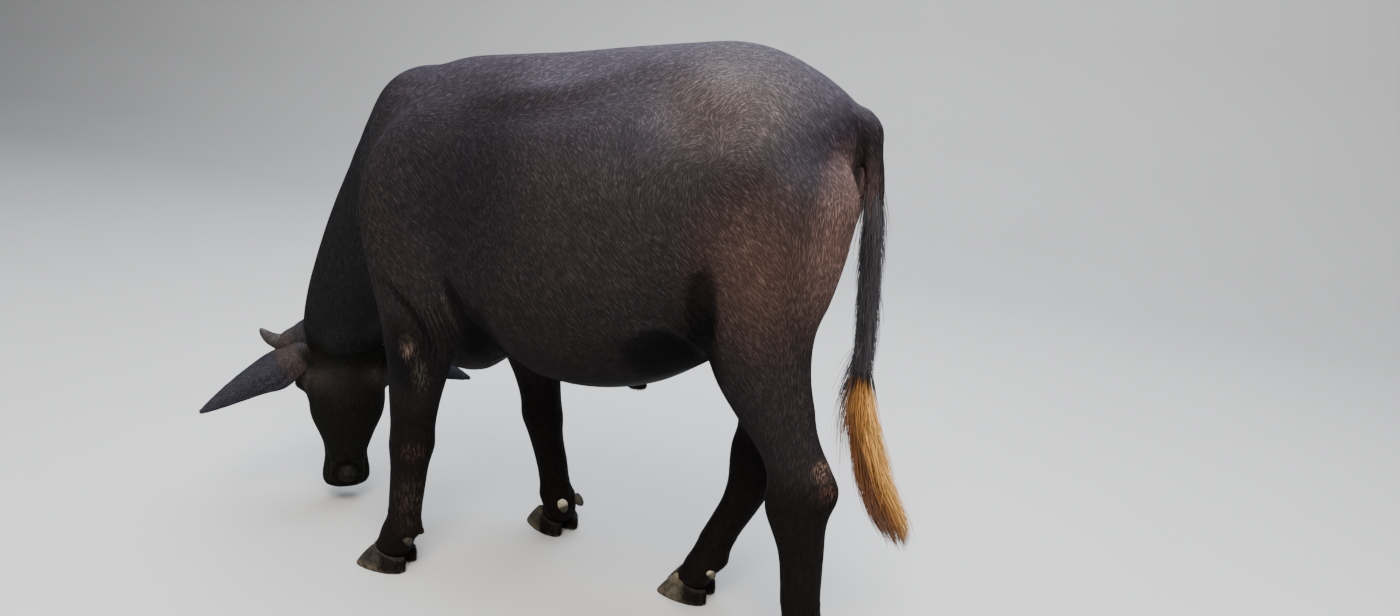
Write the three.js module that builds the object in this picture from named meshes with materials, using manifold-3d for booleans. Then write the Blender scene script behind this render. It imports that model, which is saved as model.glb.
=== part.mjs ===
// A young water buffalo heifer grazing, as a still, life-size display model.
// Millimetres, +Z up. The head points to -X and the left side to -Y.
// Smooth lofts are joined into one body of flesh, which thin cuts part into its named pieces.
import * as THREE from "three";
import { mergeVertices } from "three/addons/utils/BufferGeometryUtils.js";
import Module from "manifold-3d";

const wasm = await Module();
wasm.setup();

// Room left between neighbouring pieces
const GAP = 0.3;
const MERGE_TOLERANCE = 1e-4;
// Rows of a ball for each of its sides
const BALL_ROWS = 0.7;

// Trunk, along X from the breast to the rump: place, height of the back, height of the belly,
// half width, height of the widest line, fullness above and below it
const TRUNK = [
  [-220, 850, 650, 36, 750, 1.0, 1.0],
  [-202, 925, 575, 80, 760, 1.0, 1.0],
  [-165, 1000, 510, 118, 770, 1.05, 1.0],
  [-115, 1060, 468, 142, 780, 1.1, 1.0],
  [-45, 1095, 444, 162, 785, 1.1, 0.95],
  [37, 1110, 447, 182, 785, 1.1, 0.95],
  [110, 1119, 493, 206, 780, 1.0, 0.95],
  [200, 1131, 474, 232, 765, 0.95, 0.92],
  [300, 1149, 472, 252, 750, 0.92, 0.95],
  [380, 1162, 486, 258, 755, 0.92, 1.0],
  [450, 1173, 512, 248, 785, 0.92, 1.0],
  [524, 1183, 558, 224, 830, 0.92, 1.0],
  [600, 1174, 618, 200, 880, 0.95, 0.95],
  [665, 1150, 676, 178, 905, 1.0, 0.9],
  [718, 1121, 725, 150, 920, 1.0, 0.9],
  [752, 1092, 775, 115, 930, 1.0, 0.95],
  [770, 1054, 830, 72, 935, 1.0, 1.0],
];
const TRUNK_SIDES = 30;
const TRUNK_STATIONS = 22;

// Swells and hollows on both flanks: X, height, reach along X, reach in height, how far they push out
const FLANK_SWELLS = [
  [538, 1098, 58, 46, 30],
  [440, 1075, 80, 62, -22],
  [90, 900, 60, 190, -14],
  [640, 985, 70, 70, 10],
  [735, 1040, 45, 40, 14],
  [250, 640, 150, 110, 8],
];
const SWELL_START = 1.6;

// Neck, from inside the shoulders to the nape: share of the way, crest X and Z, throat X and Z,
// offset to the right, half width, turn of the ring in degrees
const NECK = [
  [0.0, -60, 1076, 0, 560, 0, 90, 0],
  [0.16, -148, 1072, -100, 536, 0, 106, 0],
  [0.3, -220, 1028, -150, 532, 2, 106, 0],
  [0.42, -260, 950, -176, 540, 8, 106, 4],
  [0.55, -312, 845, -190, 548, 18, 104, 10],
  [0.66, -362, 755, -212, 532, 32, 100, 18],
  [0.77, -406, 668, -242, 496, 46, 96, 28],
  [0.88, -442, 584, -278, 452, 62, 93, 38],
  [0.97, -462, 508, -308, 408, 76, 90, 46],
  [1.06, -460, 446, -330, 374, 84, 82, 50],
  [1.12, -444, 402, -344, 352, 86, 62, 50],
];
const CREST_SHARPNESS = 1.25;
const NECK_SIDES = 22;
const NECK_STATIONS = 14;

// Head: its poll, its turn to the right and how far the nose is tucked back, in degrees
const POLL = [-392, 90, 438];
const HEAD_TURN = 50;
const HEAD_TUCK = 2;

// Skull and upper lip, from the nape down to the nose: distance, half width,
// depth in front of and behind the axis
const SKULL = [
  [-8, 50, 20, 34],
  [0, 68, 34, 50],
  [30, 90, 60, 64],
  [75, 98, 74, 68],
  [110, 99, 76, 70],
  [150, 94, 72, 66],
  [197, 82, 64, 54],
  [246, 66, 56, 40],
  [295, 54, 51, 29],
  [320, 51, 49, 26],
  [344, 54, 48, 24],
  [368, 57, 43, 22],
  [388, 54, 35, 19],
  [402, 42, 24, 13],
  [409, 22, 10, 6],
];
const SKULL_SIDES = 22;
const SKULL_STATIONS = 18;

// Lower jaw: distance, place behind the axis, half width, half depth
const JAW = [
  [66, 14, 62, 40],
  [94, 34, 78, 46],
  [122, 50, 87, 48],
  [152, 58, 88, 48],
  [197, 56, 84, 42],
  [246, 48, 66, 33],
  [295, 41, 50, 25],
  [325, 38, 42, 21],
  [352, 36, 42, 20],
  [374, 35, 38, 19],
  [388, 32, 26, 12],
];
const JAW_SIDES = 16;
const JAW_STATIONS = 12;

// Skin-covered bosses the horns grow from: place on the head and half sizes
const BOSS = [18, 82, 8];
const BOSS_SIZE = [37, 52, 34];
const BOSS_SIDES = 12;

// Eyes, as places on the head: distance down it, out to the side, forward
const EYE = [126, 90, 26];
const EYE_RADIUS = 19;
const EYE_SIDES = 12;
const NOSTRIL_SIDES = 8;
const ORBIT = [128, 86, 26];
const ORBIT_SIZE = [40, 35, 32];
const LID_OPENING = [17, 14, 9];
const LID_THICKNESS = 4;
const LID_CORNER = 1.8;
const LID_WIDTH = 1.3;
const LID_RISE = 12;
const LID_REACH = 19.5;
const LID_WRAP = 0.6;
const LID_SIDES = 6;
const LID_STATIONS = 9;
const NOSTRIL = [386, 28, 35];
const NOSTRIL_SIZE = [8, 12, 6];

// Chin under the jaw's tip
const CHIN = [352, 0, -38];
const CHIN_SIZE = [22, 24, 22];
const CHIN_SIDES = 8;

// Ears: place of the root on the head, then for each share of the length
// half width, cup depth, thickness and how far the leaf hangs below its middle line
const EAR_ROOT = [48, 82, -16];
const EAR_LENGTH = 286;
const EAR = [
  [0.0, 28, 10, 32, 0],
  [0.08, 35, 20, 26, 1],
  [0.2, 43, 27, 11, 5],
  [0.33, 48, 26, 6, 7],
  [0.5, 39, 19, 5, 2],
  [0.68, 29, 12, 5, 0],
  [0.83, 19, 7, 4, 0],
  [0.94, 10, 3, 4, 0],
  [1.0, 4, 1, 3, 0],
];
const EAR_HOLLOW = [0.72, 0.62];
const EAR_ROOT_DEPTH = 12;
const EAR_STEPS = 6;
const EAR_STATIONS = 11;
const EAR_INNER_WIDTH = 0.95;
const EAR_ROOM = 0.7;
// Direction of each ear as shares of outwards, forwards on the head, and down its length
const EAR_LEFT_WAY = [0.87, 0.02, 0.535];
const EAR_RIGHT_WAY = [0.82, 0.35, 0.45];

// Horns: root, bend and tip as places on the head, and the radius along them
const HORN_ROOT = [30, 84, 26];
const HORN_BEND = [64, 152, 28];
const HORN_TIP = [3, 184, 12];
const HORN_RADII = [
  [0.0, 25],
  [0.2, 23.5],
  [0.45, 20],
  [0.65, 16.5],
  [0.8, 13],
  [0.92, 8.5],
  [1.0, 4],
];
const HORN_SIDES = 10;
const HORN_STATIONS = 9;
const HORN_FLATNESS = 0.86;

// Legs, shared by left and right: height, half length along X, half width, extra reach to the rear
const FORELEG_FORM = [
  [1052, 40, 20, 0],
  [1030, 62, 34, 0],
  [1000, 84, 50, 0],
  [960, 104, 63, 0],
  [880, 122, 75, 0],
  [800, 124, 80, 0],
  [720, 116, 80, 0],
  [640, 102, 74, 0],
  [560, 86, 64, 4],
  [490, 71, 56, 4],
  [400, 56, 50, 0],
  [335, 49, 46, 0],
  [295, 49, 47, 3],
  [250, 43, 41, 0],
  [180, 40, 35, 0],
  [120, 39, 36, 0],
  [92, 44, 44, 4],
  [62, 40, 46, 0],
  [24, 44, 48, 0],
];
const HINDLEG_FORM = [
  [1062, 50, 36, 0],
  [1040, 76, 56, 0],
  [1000, 99, 77, 0],
  [940, 115, 92, 0],
  [860, 119, 97, 0],
  [760, 115, 92, 0],
  [680, 106, 82, 0],
  [605, 102, 72, 0],
  [555, 92, 66, 0],
  [510, 78, 60, 0],
  [465, 67, 54, 2],
  [432, 64, 51, 7],
  [403, 63, 50, 14],
  [380, 64, 49, 13],
  [358, 65, 48, 6],
  [335, 63, 46, 1],
  [295, 54, 43, 0],
  [250, 46, 40, 0],
  [200, 42.5, 38, 0],
  [150, 41, 37, 0],
  [118, 42, 39, 0],
  [92, 45, 45, 4],
  [62, 41, 47, 0],
  [24, 45, 49, 0],
];
// Path of each leg: height, X, Y
const FORELEG_LEFT = [
  [1052, 4, -66],
  [960, -38, -90],
  [880, -70, -102],
  [800, -82, -108],
  [720, -78, -112],
  [640, -66, -117],
  [560, -58, -121],
  [490, -57, -123],
  [400, -64, -124],
  [295, -70, -125],
  [180, -80, -125],
  [120, -86, -125],
  [92, -92, -125],
  [62, -104, -125],
  [24, -116, -125],
];
const FORELEG_RIGHT = [
  [1052, 8, 66],
  [960, -30, 90],
  [880, -56, 102],
  [800, -60, 108],
  [720, -44, 112],
  [640, -12, 117],
  [560, 26, 122],
  [490, 48, 130],
  [400, 82, 141],
  [335, 92, 150],
  [295, 94, 155],
  [250, 102, 161],
  [180, 117, 170],
  [120, 127, 177],
  [92, 132, 180],
  [62, 138, 184],
  [24, 128, 188],
];
const HINDLEG_LEFT = [
  [1062, 656, -66],
  [1000, 668, -92],
  [940, 682, -106],
  [860, 675, -110],
  [760, 660, -110],
  [680, 648, -111],
  [605, 655, -112],
  [510, 699, -112],
  [432, 745, -112],
  [405, 755, -112],
  [370, 758, -112],
  [340, 758, -112],
  [250, 777, -112],
  [150, 788, -112],
  [92, 797, -112],
  [62, 789, -112],
  [24, 777, -112],
];
const HINDLEG_RIGHT = [
  [1062, 654, 66],
  [1000, 662, 92],
  [940, 664, 106],
  [860, 648, 109],
  [760, 624, 107],
  [680, 608, 102],
  [605, 599, 96],
  [510, 614, 88],
  [458, 631, 83],
  [420, 640, 80],
  [377, 635, 77],
  [330, 631, 74],
  [283, 622, 70],
  [250, 611, 68],
  [150, 567, 60],
  [92, 547, 57],
  [62, 531, 56],
  [24, 513, 55],
];
const LEG_SIDES = 16;
const LEG_STATIONS = 23;
// Rings lie closer towards the foot, and the bumps of the joints are narrower than the leg
const LEG_CROWDING = 1.25;
const HEEL_SHARPNESS = 4;

// Feet: where the pastern stands behind the middle of the sole, and the slanted top of the hoof
const FOOT_SETBACK = 22;
const PASTERN_HEIGHT = 62;
const FOOT_TURN = { foreleg_left: -6, foreleg_right: 22, hindleg_left: -7, hindleg_right: 5 };
const HOOF_TOP = 49;
const HOOF_SLOPE = 0.3;
const CLAW_TOE = -63;
const CLAW_HEEL = 56;
const CLAW_WIDTH = 47;
const CLEFT = 5;
const TOE_LEAN = 0.88;
const HEEL_LEAN = -0.045;
const TOE_NARROWING = 0.28;
const CLEFT_FLATNESS = 0.92;
const WALL_LEAN = 0.06;
const CLAW_SIDES = 14;
const CLAW_LEVELS = 3;
const DEWCLAW = { height: 92, behind: 26, aside: 21, length: 32, way: [0.72, 0.18, -0.66] };
// For shares of a dewclaw's length, its radius
const DEWCLAW_RADII = [
  [0.0, 11.7],
  [0.35, 13],
  [0.7, 10.6],
  [0.92, 6.5],
  [1.0, 2.6],
];
const DEWCLAW_SIDES = 8;
const DEWCLAW_FLATNESS = 0.8;

// Tail: share of the way down, X and Z of its middle, half depth, half width
const DOCK = [
  [0.0, 716, 1070, 30, 34],
  [0.07, 752, 1066, 29, 34],
  [0.14, 783, 1046, 27, 30],
  [0.22, 797, 1000, 23, 26],
  [0.34, 806, 930, 20, 22],
  [0.5, 814, 830, 18, 19],
  [0.7, 821, 730, 17, 18],
  [0.85, 826, 660, 16, 17],
  [1.0, 828, 600, 13, 14],
];
const DOCK_SIDES = 12;
const DOCK_STATIONS = 13;
const DOCK_ROOT = [772, 0, 1060];
const DOCK_ROOT_WAY = [0.78, 0, -0.62];
const SWITCH = [
  [0.0, 826, 645, 18, 19],
  [0.13, 830, 595, 20, 21],
  [0.26, 835, 545, 24, 25],
  [0.4, 846, 490, 28, 29],
  [0.54, 862, 438, 30, 30],
  [0.68, 880, 386, 32, 29],
  [0.82, 905, 335, 33, 25],
  [0.93, 926, 296, 28, 18],
  [1.0, 940, 272, 14, 8],
];
const SWITCH_TOP = [826, 0, 640];
const SWITCH_SIDES = 12;
const SWITCH_STATIONS = 9;
// The locks' core fills this share of the switch
const SWITCH_CORE = 0.64;

// Long locks: count, range of the roots along the tail's table, range of lengths in shares of it,
// how far out of the middle they root and end, half width and half thickness,
// the side they are on and their spread round the tail, both in radians
const SWITCH_LOCKS = {
  count: 24,
  roots: [0.03, 0.66],
  lengths: [0.33, 0.45],
  rooted: 0.3,
  ends: [0.78, 1.16],
  width: 12,
  thick: 3.6,
  side: 0,
  spread: Math.PI,
};
const DOCK_LOCKS = {
  count: 8,
  roots: [0.42, 0.74],
  lengths: [0.13, 0.18],
  rooted: 0.3,
  ends: [1.5, 2.1],
  width: 6,
  thick: 2.2,
  side: 0,
  spread: Math.PI,
};
const WISP_LOCKS = {
  count: 3,
  roots: [0.02, 0.12],
  lengths: [0.26, 0.32],
  rooted: 0.3,
  ends: [1.7, 2.2],
  width: 6,
  thick: 2.4,
  side: Math.PI,
  spread: 0.5,
};
const LOCK_SEED = 17;
// Range, factor and step of the repeatable random numbers
const RANDOM_RANGE = 2 ** 32;
const RANDOM_FACTOR = 1664525;
const RANDOM_STEP = 1013904223;
// Each lock is this share of the spread round from the one before
const GOLDEN_SHARE = 0.618034;
// Past this share of the switch the locks close up no further
const LOCK_SPREAD_END = 0.9;
// For shares of a lock's length, its size
const LOCK_PROFILE = [
  [0.0, 0.7],
  [0.25, 1],
  [0.5, 0.95],
  [0.75, 0.65],
  [1.0, 0.12],
];
// How much a lock waves from side to side, and turns about the tail, in radians
const LOCK_WAVE = 0.16;
const LOCK_WAVE_PACE = 5;
const LOCK_TURN = 0.55;

// Small forms under the belly and the tail: place and half sizes
const NAVEL = { at: [374, 0, 482], size: [30, 11, 17] };
const VULVA = { at: [764, 0, 910], size: [17, 17, 42] };
const UDDER = { at: [585, 0, 632], size: [62, 52, 34] };
const TEAT = { along: 24, aside: 26, drop: 36, size: [8, 8, 19] };
const BUMP_SIDES = 10;
const TEAT_SIDES = 6;

// Where the cuts part the flesh: middle of the cut, its normal, its half sizes across the normal
const NECK_CUT = { at: [-214, 0, 820], way: [0.97, 0, 0.24], reach: [420, 320] };
const HEAD_CUT = { at: [-352, 72, 470], way: [0.1, -0.05, 0.99], reach: [150, 190] };
const LEG_CUTS = {
  foreleg_left: { high: 468, low: 300 },
  foreleg_right: { high: 468, low: 300 },
  hindleg_left: { high: 553, low: 382 },
  hindleg_right: { high: 553, low: 382 },
};
const LEG_CUT_REACH = [130, 91];
// Blocks that trim the pasterns and the tail
const HOOF_BLOCK = 300;
const BLOCK_SIZE = 900;
// Share of a tube over which its slope is measured
const SLOPE_STEP = 0.01;

// Colours of the finishes
const FINISH = {
  coat: { color: 0x2a211e, roughness: 0.62 },
  coatDark: { color: 0x1d1715, roughness: 0.6 },
  ear: { color: 0x3a3436, roughness: 0.65 },
  horn: { color: 0x4a443c, roughness: 0.5 },
  eye: { color: 0x120d0b, roughness: 0.08 },
  hoof: { color: 0x6b6254, roughness: 0.7 },
  tail: { color: 0x17110f, roughness: 0.7 },
  switch: { color: 0xa5672f, roughness: 0.65 },
};

// Smooth curves through a table: the first number of a row is the place, the others are carried along it.
function track(rows) {
  const keys = rows.map((row) => row[0]);
  const last = rows.length - 1;
  const step = (i) => keys[i + 1] - keys[i];
  const slope = (i, c) => (rows[i + 1][c] - rows[i][c]) / step(i);
  const tangent = (i, c) => {
    if (i === 0) return slope(0, c);
    if (i === last) return slope(last - 1, c);
    return (slope(i - 1, c) * step(i) + slope(i, c) * step(i - 1)) / (step(i - 1) + step(i));
  };
  return (key) => {
    const rising = keys[last] > keys[0];
    let i = 0;
    while (i < last - 1 && (rising ? key > keys[i + 1] : key < keys[i + 1])) i += 1;
    const t = THREE.MathUtils.clamp((key - keys[i]) / step(i), 0, 1);
    const values = [];
    for (let c = 1; c < rows[0].length; c += 1) {
      const a = rows[i][c];
      const b = rows[i + 1][c];
      const startPull = tangent(i, c) * step(i);
      const endPull = tangent(i + 1, c) * step(i);
      values.push(
        a * (2 * t ** 3 - 3 * t ** 2 + 1) + startPull * (t ** 3 - 2 * t ** 2 + t) +
          b * (3 * t ** 2 - 2 * t ** 3) + endPull * (t ** 3 - t ** 2),
      );
    }
    return values;
  };
}

// Evenly spaced places from the first row of a table to its last.
function places(rows, count) {
  const first = rows[0][0];
  const span = rows.at(-1)[0] - first;
  return Array.from({ length: count }, (_, i) => first + (span * i) / (count - 1));
}

// A power that keeps the sign of its base.
function signedPower(base, power) {
  return Math.sign(base) * Math.abs(base) ** power;
}

// Volume inside an indexed surface, negative when its faces point inwards.
function signedVolume(points, index) {
  let volume = 0;
  for (let i = 0; i < index.length; i += 3) {
    const [a, b, c] = [points[index[i]], points[index[i + 1]], points[index[i + 2]]];
    volume += a.dot(new THREE.Vector3().crossVectors(b, c)) / 6;
  }
  return volume;
}

// A closed skin over rings with the same number of points, with a pole in the middle of each end.
function loft(rings) {
  const count = rings[0].length;
  const total = (ring) => ring.reduce((sum, p) => sum.add(p), new THREE.Vector3());
  const middle = (ring) => total(ring).divideScalar(count);
  const points = [...rings.flat(), middle(rings[0]), middle(rings.at(-1))];
  const firstPole = points.length - 2;
  const lastPole = points.length - 1;
  const index = [];
  for (let i = 0; i < rings.length - 1; i += 1) {
    for (let j = 0; j < count; j += 1) {
      const a = i * count + j;
      const b = i * count + ((j + 1) % count);
      index.push(a, b, a + count, b, b + count, a + count);
    }
  }
  const lastRing = (rings.length - 1) * count;
  for (let j = 0; j < count; j += 1) {
    const next = (j + 1) % count;
    index.push(firstPole, next, j, lastPole, lastRing + j, lastRing + next);
  }
  if (signedVolume(points, index) < 0) index.reverse();
  const geometry = new THREE.BufferGeometry().setFromPoints(points);
  geometry.setIndex(index);
  return geometry;
}

// A geometry as a solid that can be joined and cut.
function solid(geometry) {
  const bare = new THREE.BufferGeometry().setAttribute("position", geometry.getAttribute("position"));
  bare.setIndex(geometry.getIndex());
  const merged = mergeVertices(bare, MERGE_TOLERANCE);
  return new wasm.Manifold(
    new wasm.Mesh({
      numProp: 3,
      vertProperties: new Float32Array(merged.getAttribute("position").array),
      triVerts: new Uint32Array(merged.getIndex().array),
    }),
  );
}

// A solid's largest closed surface as a geometry, about a chosen origin.
function skinOf(body, origin = new THREE.Vector3()) {
  const pieces = body.decompose().sort((a, b) => b.volume() - a.volume());
  const mesh = pieces[0].getMesh();
  const geometry = new THREE.BufferGeometry();
  geometry.setAttribute("position", new THREE.BufferAttribute(new Float32Array(mesh.vertProperties), 3));
  geometry.setIndex(new THREE.BufferAttribute(new Uint32Array(mesh.triVerts), 1));
  geometry.translate(-origin.x, -origin.y, -origin.z);
  geometry.computeVertexNormals();
  return geometry;
}

// Joins solids into one.
function join(...bodies) {
  return bodies.reduce((sum, body) => sum.add(body));
}

// A ball stretched along three axes.
function ball(centre, sizes, axes, sides) {
  const geometry = new THREE.SphereGeometry(1, sides, Math.round(sides * BALL_ROWS));
  const handed = new THREE.Vector3().crossVectors(axes[0], axes[1]).dot(axes[2]) > 0 ? 1 : -1;
  const matrix = new THREE.Matrix4().makeBasis(
    axes[0].clone().multiplyScalar(handed * sizes[0]),
    axes[1].clone().multiplyScalar(sizes[1]),
    axes[2].clone().multiplyScalar(sizes[2]),
  );
  geometry.applyMatrix4(matrix.setPosition(centre));
  return solid(geometry);
}

// Parts a body with a thin cut square to a direction: the larger part comes first.
function part(body, cut) {
  const slab = new THREE.BoxGeometry(2 * cut.reach[0], 2 * cut.reach[1], GAP);
  const turn = new THREE.Quaternion().setFromUnitVectors(
    new THREE.Vector3(0, 0, 1),
    new THREE.Vector3(...cut.way).normalize(),
  );
  slab.applyQuaternion(turn).translate(...cut.at);
  const pieces = body.subtract(solid(slab)).decompose();
  return pieces.sort((a, b) => b.volume() - a.volume()).slice(0, 2);
}

// How far the swells push a flank out at a place
function flankSwell(x, z) {
  return FLANK_SWELLS.reduce(
    (sum, [x0, z0, reachX, reachZ, push]) =>
      sum + push * Math.exp(-(((x - x0) / reachX) ** 2) - ((z - z0) / reachZ) ** 2),
    0,
  );
}

// The trunk: upright ovals along the back, pushed out or in on the flanks.
function trunk() {
  const at = track(TRUNK);
  const rings = places(TRUNK, TRUNK_STATIONS).map((x) => {
    const [top, bottom, width, waist, fullTop, fullBottom] = at(x);
    return Array.from({ length: TRUNK_SIDES }, (_, j) => {
      const angle = (2 * Math.PI * j) / TRUNK_SIDES;
      const upper = Math.sin(angle) >= 0;
      const side = signedPower(Math.cos(angle), upper ? fullTop : fullBottom);
      const z = waist + Math.sin(angle) * (upper ? top - waist : waist - bottom);
      const swell = flankSwell(x, z) * Math.sign(side) * Math.min(1, Math.abs(side) * SWELL_START);
      return new THREE.Vector3(x, side * width + swell, z);
    });
  });
  return solid(loft(rings));
}

// The neck: rings from crest to throat that turn with the head.
function neck() {
  const at = track(NECK);
  const rings = places(NECK, NECK_STATIONS).map((share) => {
    const [crestX, crestZ, throatX, throatZ, offset, width, degrees] = at(share);
    const turn = THREE.MathUtils.degToRad(degrees);
    const half = (crestX - throatX) / 2;
    const rise = (crestZ - throatZ) / 2;
    const centre = new THREE.Vector3((crestX + throatX) / 2, offset, (crestZ + throatZ) / 2);
    const deep = new THREE.Vector3(half * Math.cos(turn), -half * Math.sin(turn), rise);
    const wide = new THREE.Vector3(Math.sin(turn), Math.cos(turn), 0).multiplyScalar(width);
    return Array.from({ length: NECK_SIDES }, (_, j) => {
      const angle = (2 * Math.PI * j) / NECK_SIDES;
      const power = Math.sin(angle) > 0 ? CREST_SHARPNESS : 1;
      const side = signedPower(Math.cos(angle), power);
      return centre.clone().addScaledVector(wide, side).addScaledVector(deep, Math.sin(angle));
    });
  });
  return solid(loft(rings));
}

// The head's own directions: down its length, out to its left, and out of its forehead
const turned = THREE.MathUtils.degToRad(HEAD_TURN);
const tucked = THREE.MathUtils.degToRad(HEAD_TUCK);
const headFront = new THREE.Vector3(-Math.cos(turned), Math.sin(turned), 0);
const headLeft = new THREE.Vector3(-Math.sin(turned), -Math.cos(turned), 0);
const headDown = new THREE.Vector3(0, 0, -Math.cos(tucked)).addScaledVector(headFront, -Math.sin(tucked));
headFront.addScaledVector(new THREE.Vector3(0, 0, -1), Math.sin(tucked)).normalize();

// A place on the head from its distance down, out to the left and forward.
function onHead(down, left, front) {
  return new THREE.Vector3(...POLL)
    .addScaledVector(headDown, down)
    .addScaledVector(headLeft, left)
    .addScaledVector(headFront, front);
}

// The skull with the upper lip, and the lower jaw: the crease where they meet is the line of the mouth.
function skull() {
  const at = track(SKULL);
  const rings = places(SKULL, SKULL_STATIONS).map((down) => {
    const [width, front, back] = at(down);
    return Array.from({ length: SKULL_SIDES }, (_, j) => {
      const angle = (2 * Math.PI * j) / SKULL_SIDES;
      const deep = Math.sin(angle) * (Math.sin(angle) > 0 ? front : back);
      return onHead(down, Math.cos(angle) * width, deep);
    });
  });
  return solid(loft(rings));
}

function jaw() {
  const at = track(JAW);
  const rings = places(JAW, JAW_STATIONS).map((down) => {
    const [behind, width, depth] = at(down);
    return Array.from({ length: JAW_SIDES }, (_, j) => {
      const angle = (2 * Math.PI * j) / JAW_SIDES;
      return onHead(down, Math.cos(angle) * width, Math.sin(angle) * depth - behind);
    });
  });
  return solid(loft(rings));
}

// One lid: a thin bent roll over the eyeball, above or below the opening.
function lid(side, edge) {
  const [down, out, front] = EYE;
  const rings = Array.from({ length: LID_STATIONS }, (_, i) => {
    const swing = Math.PI * (i / (LID_STATIONS - 1) - 0.5);
    const along = Math.sin(swing) * LID_REACH;
    const high = edge * Math.cos(swing) * LID_RISE;
    const proud = Math.sqrt(EYE_RADIUS ** 2 - (along ** 2 + high ** 2) * LID_WRAP);
    const thick = THREE.MathUtils.lerp(LID_CORNER, LID_THICKNESS, Math.cos(swing));
    return Array.from({ length: LID_SIDES }, (__, j) => {
      const angle = (2 * Math.PI * j) / LID_SIDES;
      const away = side * (out + proud + Math.cos(angle) * thick);
      return onHead(down + along, away, front + high + Math.sin(angle) * thick * LID_WIDTH);
    });
  });
  return solid(loft(rings));
}

// An eyeball, grown by some room for its socket.
function eyeball(side, room) {
  const centre = onHead(EYE[0], side * EYE[1], EYE[2]);
  const size = EYE_RADIUS + room;
  return ball(centre, [size, size, size], [headLeft, headFront, headDown], EYE_SIDES);
}

// How far a ring moves along its piece when the piece grows by some room.
function grown(share, room) {
  return room * (2 * share - 1);
}

// An ear: a cupped leaf from a round root, with its hollow towards the jaw side.
function ear(side, way, room) {
  const at = track(EAR);
  const root = onHead(EAR_ROOT[0], side * EAR_ROOT[1], EAR_ROOT[2]);
  const along = new THREE.Vector3()
    .addScaledVector(headLeft, side * way[0])
    .addScaledVector(headFront, way[1])
    .addScaledVector(headDown, way[2])
    .normalize();
  const hollow = headFront.clone().multiplyScalar(EAR_HOLLOW[0]).addScaledVector(headDown, EAR_HOLLOW[1]);
  hollow.addScaledVector(along, -hollow.dot(along)).normalize();
  const across = new THREE.Vector3().crossVectors(along, hollow);
  const rings = places(EAR, EAR_STATIONS).map((share) => {
    const [width, cup, thick, lobe] = at(share);
    const reach = share * EAR_LENGTH - EAR_ROOT_DEPTH + grown(share, room / 2);
    const centre = root.clone().addScaledVector(along, reach);
    centre.addScaledVector(headDown, lobe);
    const ring = [];
    for (const inner of [0, 1]) {
      for (let j = 0; j <= EAR_STEPS; j += 1) {
        const s = (inner ? -1 : 1) * ((2 * j) / EAR_STEPS - 1);
        const half = inner ? width * EAR_INNER_WIDTH : width;
        const wide = s * (half + room);
        const bowl = cup * (1 - (wide / half) ** 2);
        const deep = (inner ? thick + room : -room) - bowl;
        ring.push(centre.clone().addScaledVector(across, wide).addScaledVector(hollow, deep));
      }
    }
    return ring;
  });
  return solid(loft(rings));
}

// A horn: a bent cone.
function horn(side, room) {
  const at = track(HORN_RADII);
  const points = [HORN_ROOT, HORN_BEND, HORN_TIP];
  const curve = new THREE.QuadraticBezierCurve3(
    ...points.map(([down, out, front]) => onHead(down, side * out, front)),
  );
  const rings = places(HORN_RADII, HORN_STATIONS).map((share) => {
    const centre = curve.getPoint(share);
    const along = curve.getTangent(share);
    const across = new THREE.Vector3().crossVectors(along, headFront).normalize();
    const forward = new THREE.Vector3().crossVectors(across, along);
    const radius = at(share)[0] + room;
    centre.addScaledVector(along, grown(share, room));
    return Array.from({ length: HORN_SIDES }, (_, j) => {
      const angle = (2 * Math.PI * j) / HORN_SIDES;
      return centre.clone()
        .addScaledVector(across, Math.cos(angle) * radius)
        .addScaledVector(forward, Math.sin(angle) * radius * HORN_FLATNESS);
    });
  });
  return solid(loft(rings));
}

// A leg: level ovals down a path, with the joints' bumps to the rear.
function leg(form, path) {
  const shape = track(form);
  const way = track(path);
  const top = form[0][0];
  const bottom = form.at(-1)[0];
  const rings = Array.from({ length: LEG_STATIONS }, (_, i) => {
    const share = i / (LEG_STATIONS - 1);
    const z = top + (bottom - top) * (1 - (1 - share) ** LEG_CROWDING);
    const [length, width, heel] = shape(z);
    const [x, y] = way(z);
    return Array.from({ length: LEG_SIDES }, (_, j) => {
      const angle = (2 * Math.PI * j) / LEG_SIDES;
      const rear = Math.max(0, Math.cos(angle)) ** HEEL_SHARPNESS * heel;
      return new THREE.Vector3(x + Math.cos(angle) * length + rear, y + Math.sin(angle) * width, z);
    });
  });
  return solid(loft(rings));
}

// Everything under the slanted top of a hoof, to trim the pastern.
function underHoofTop(foot) {
  const block = new THREE.BoxGeometry(HOOF_BLOCK, HOOF_BLOCK, HOOF_BLOCK);
  block.translate(0, 0, -HOOF_BLOCK / 2);
  block.rotateY(Math.atan(HOOF_SLOPE));
  block.rotateZ(foot.rotation.z);
  block.translate(foot.position.x, foot.position.y, HOOF_TOP);
  return solid(block);
}

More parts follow.
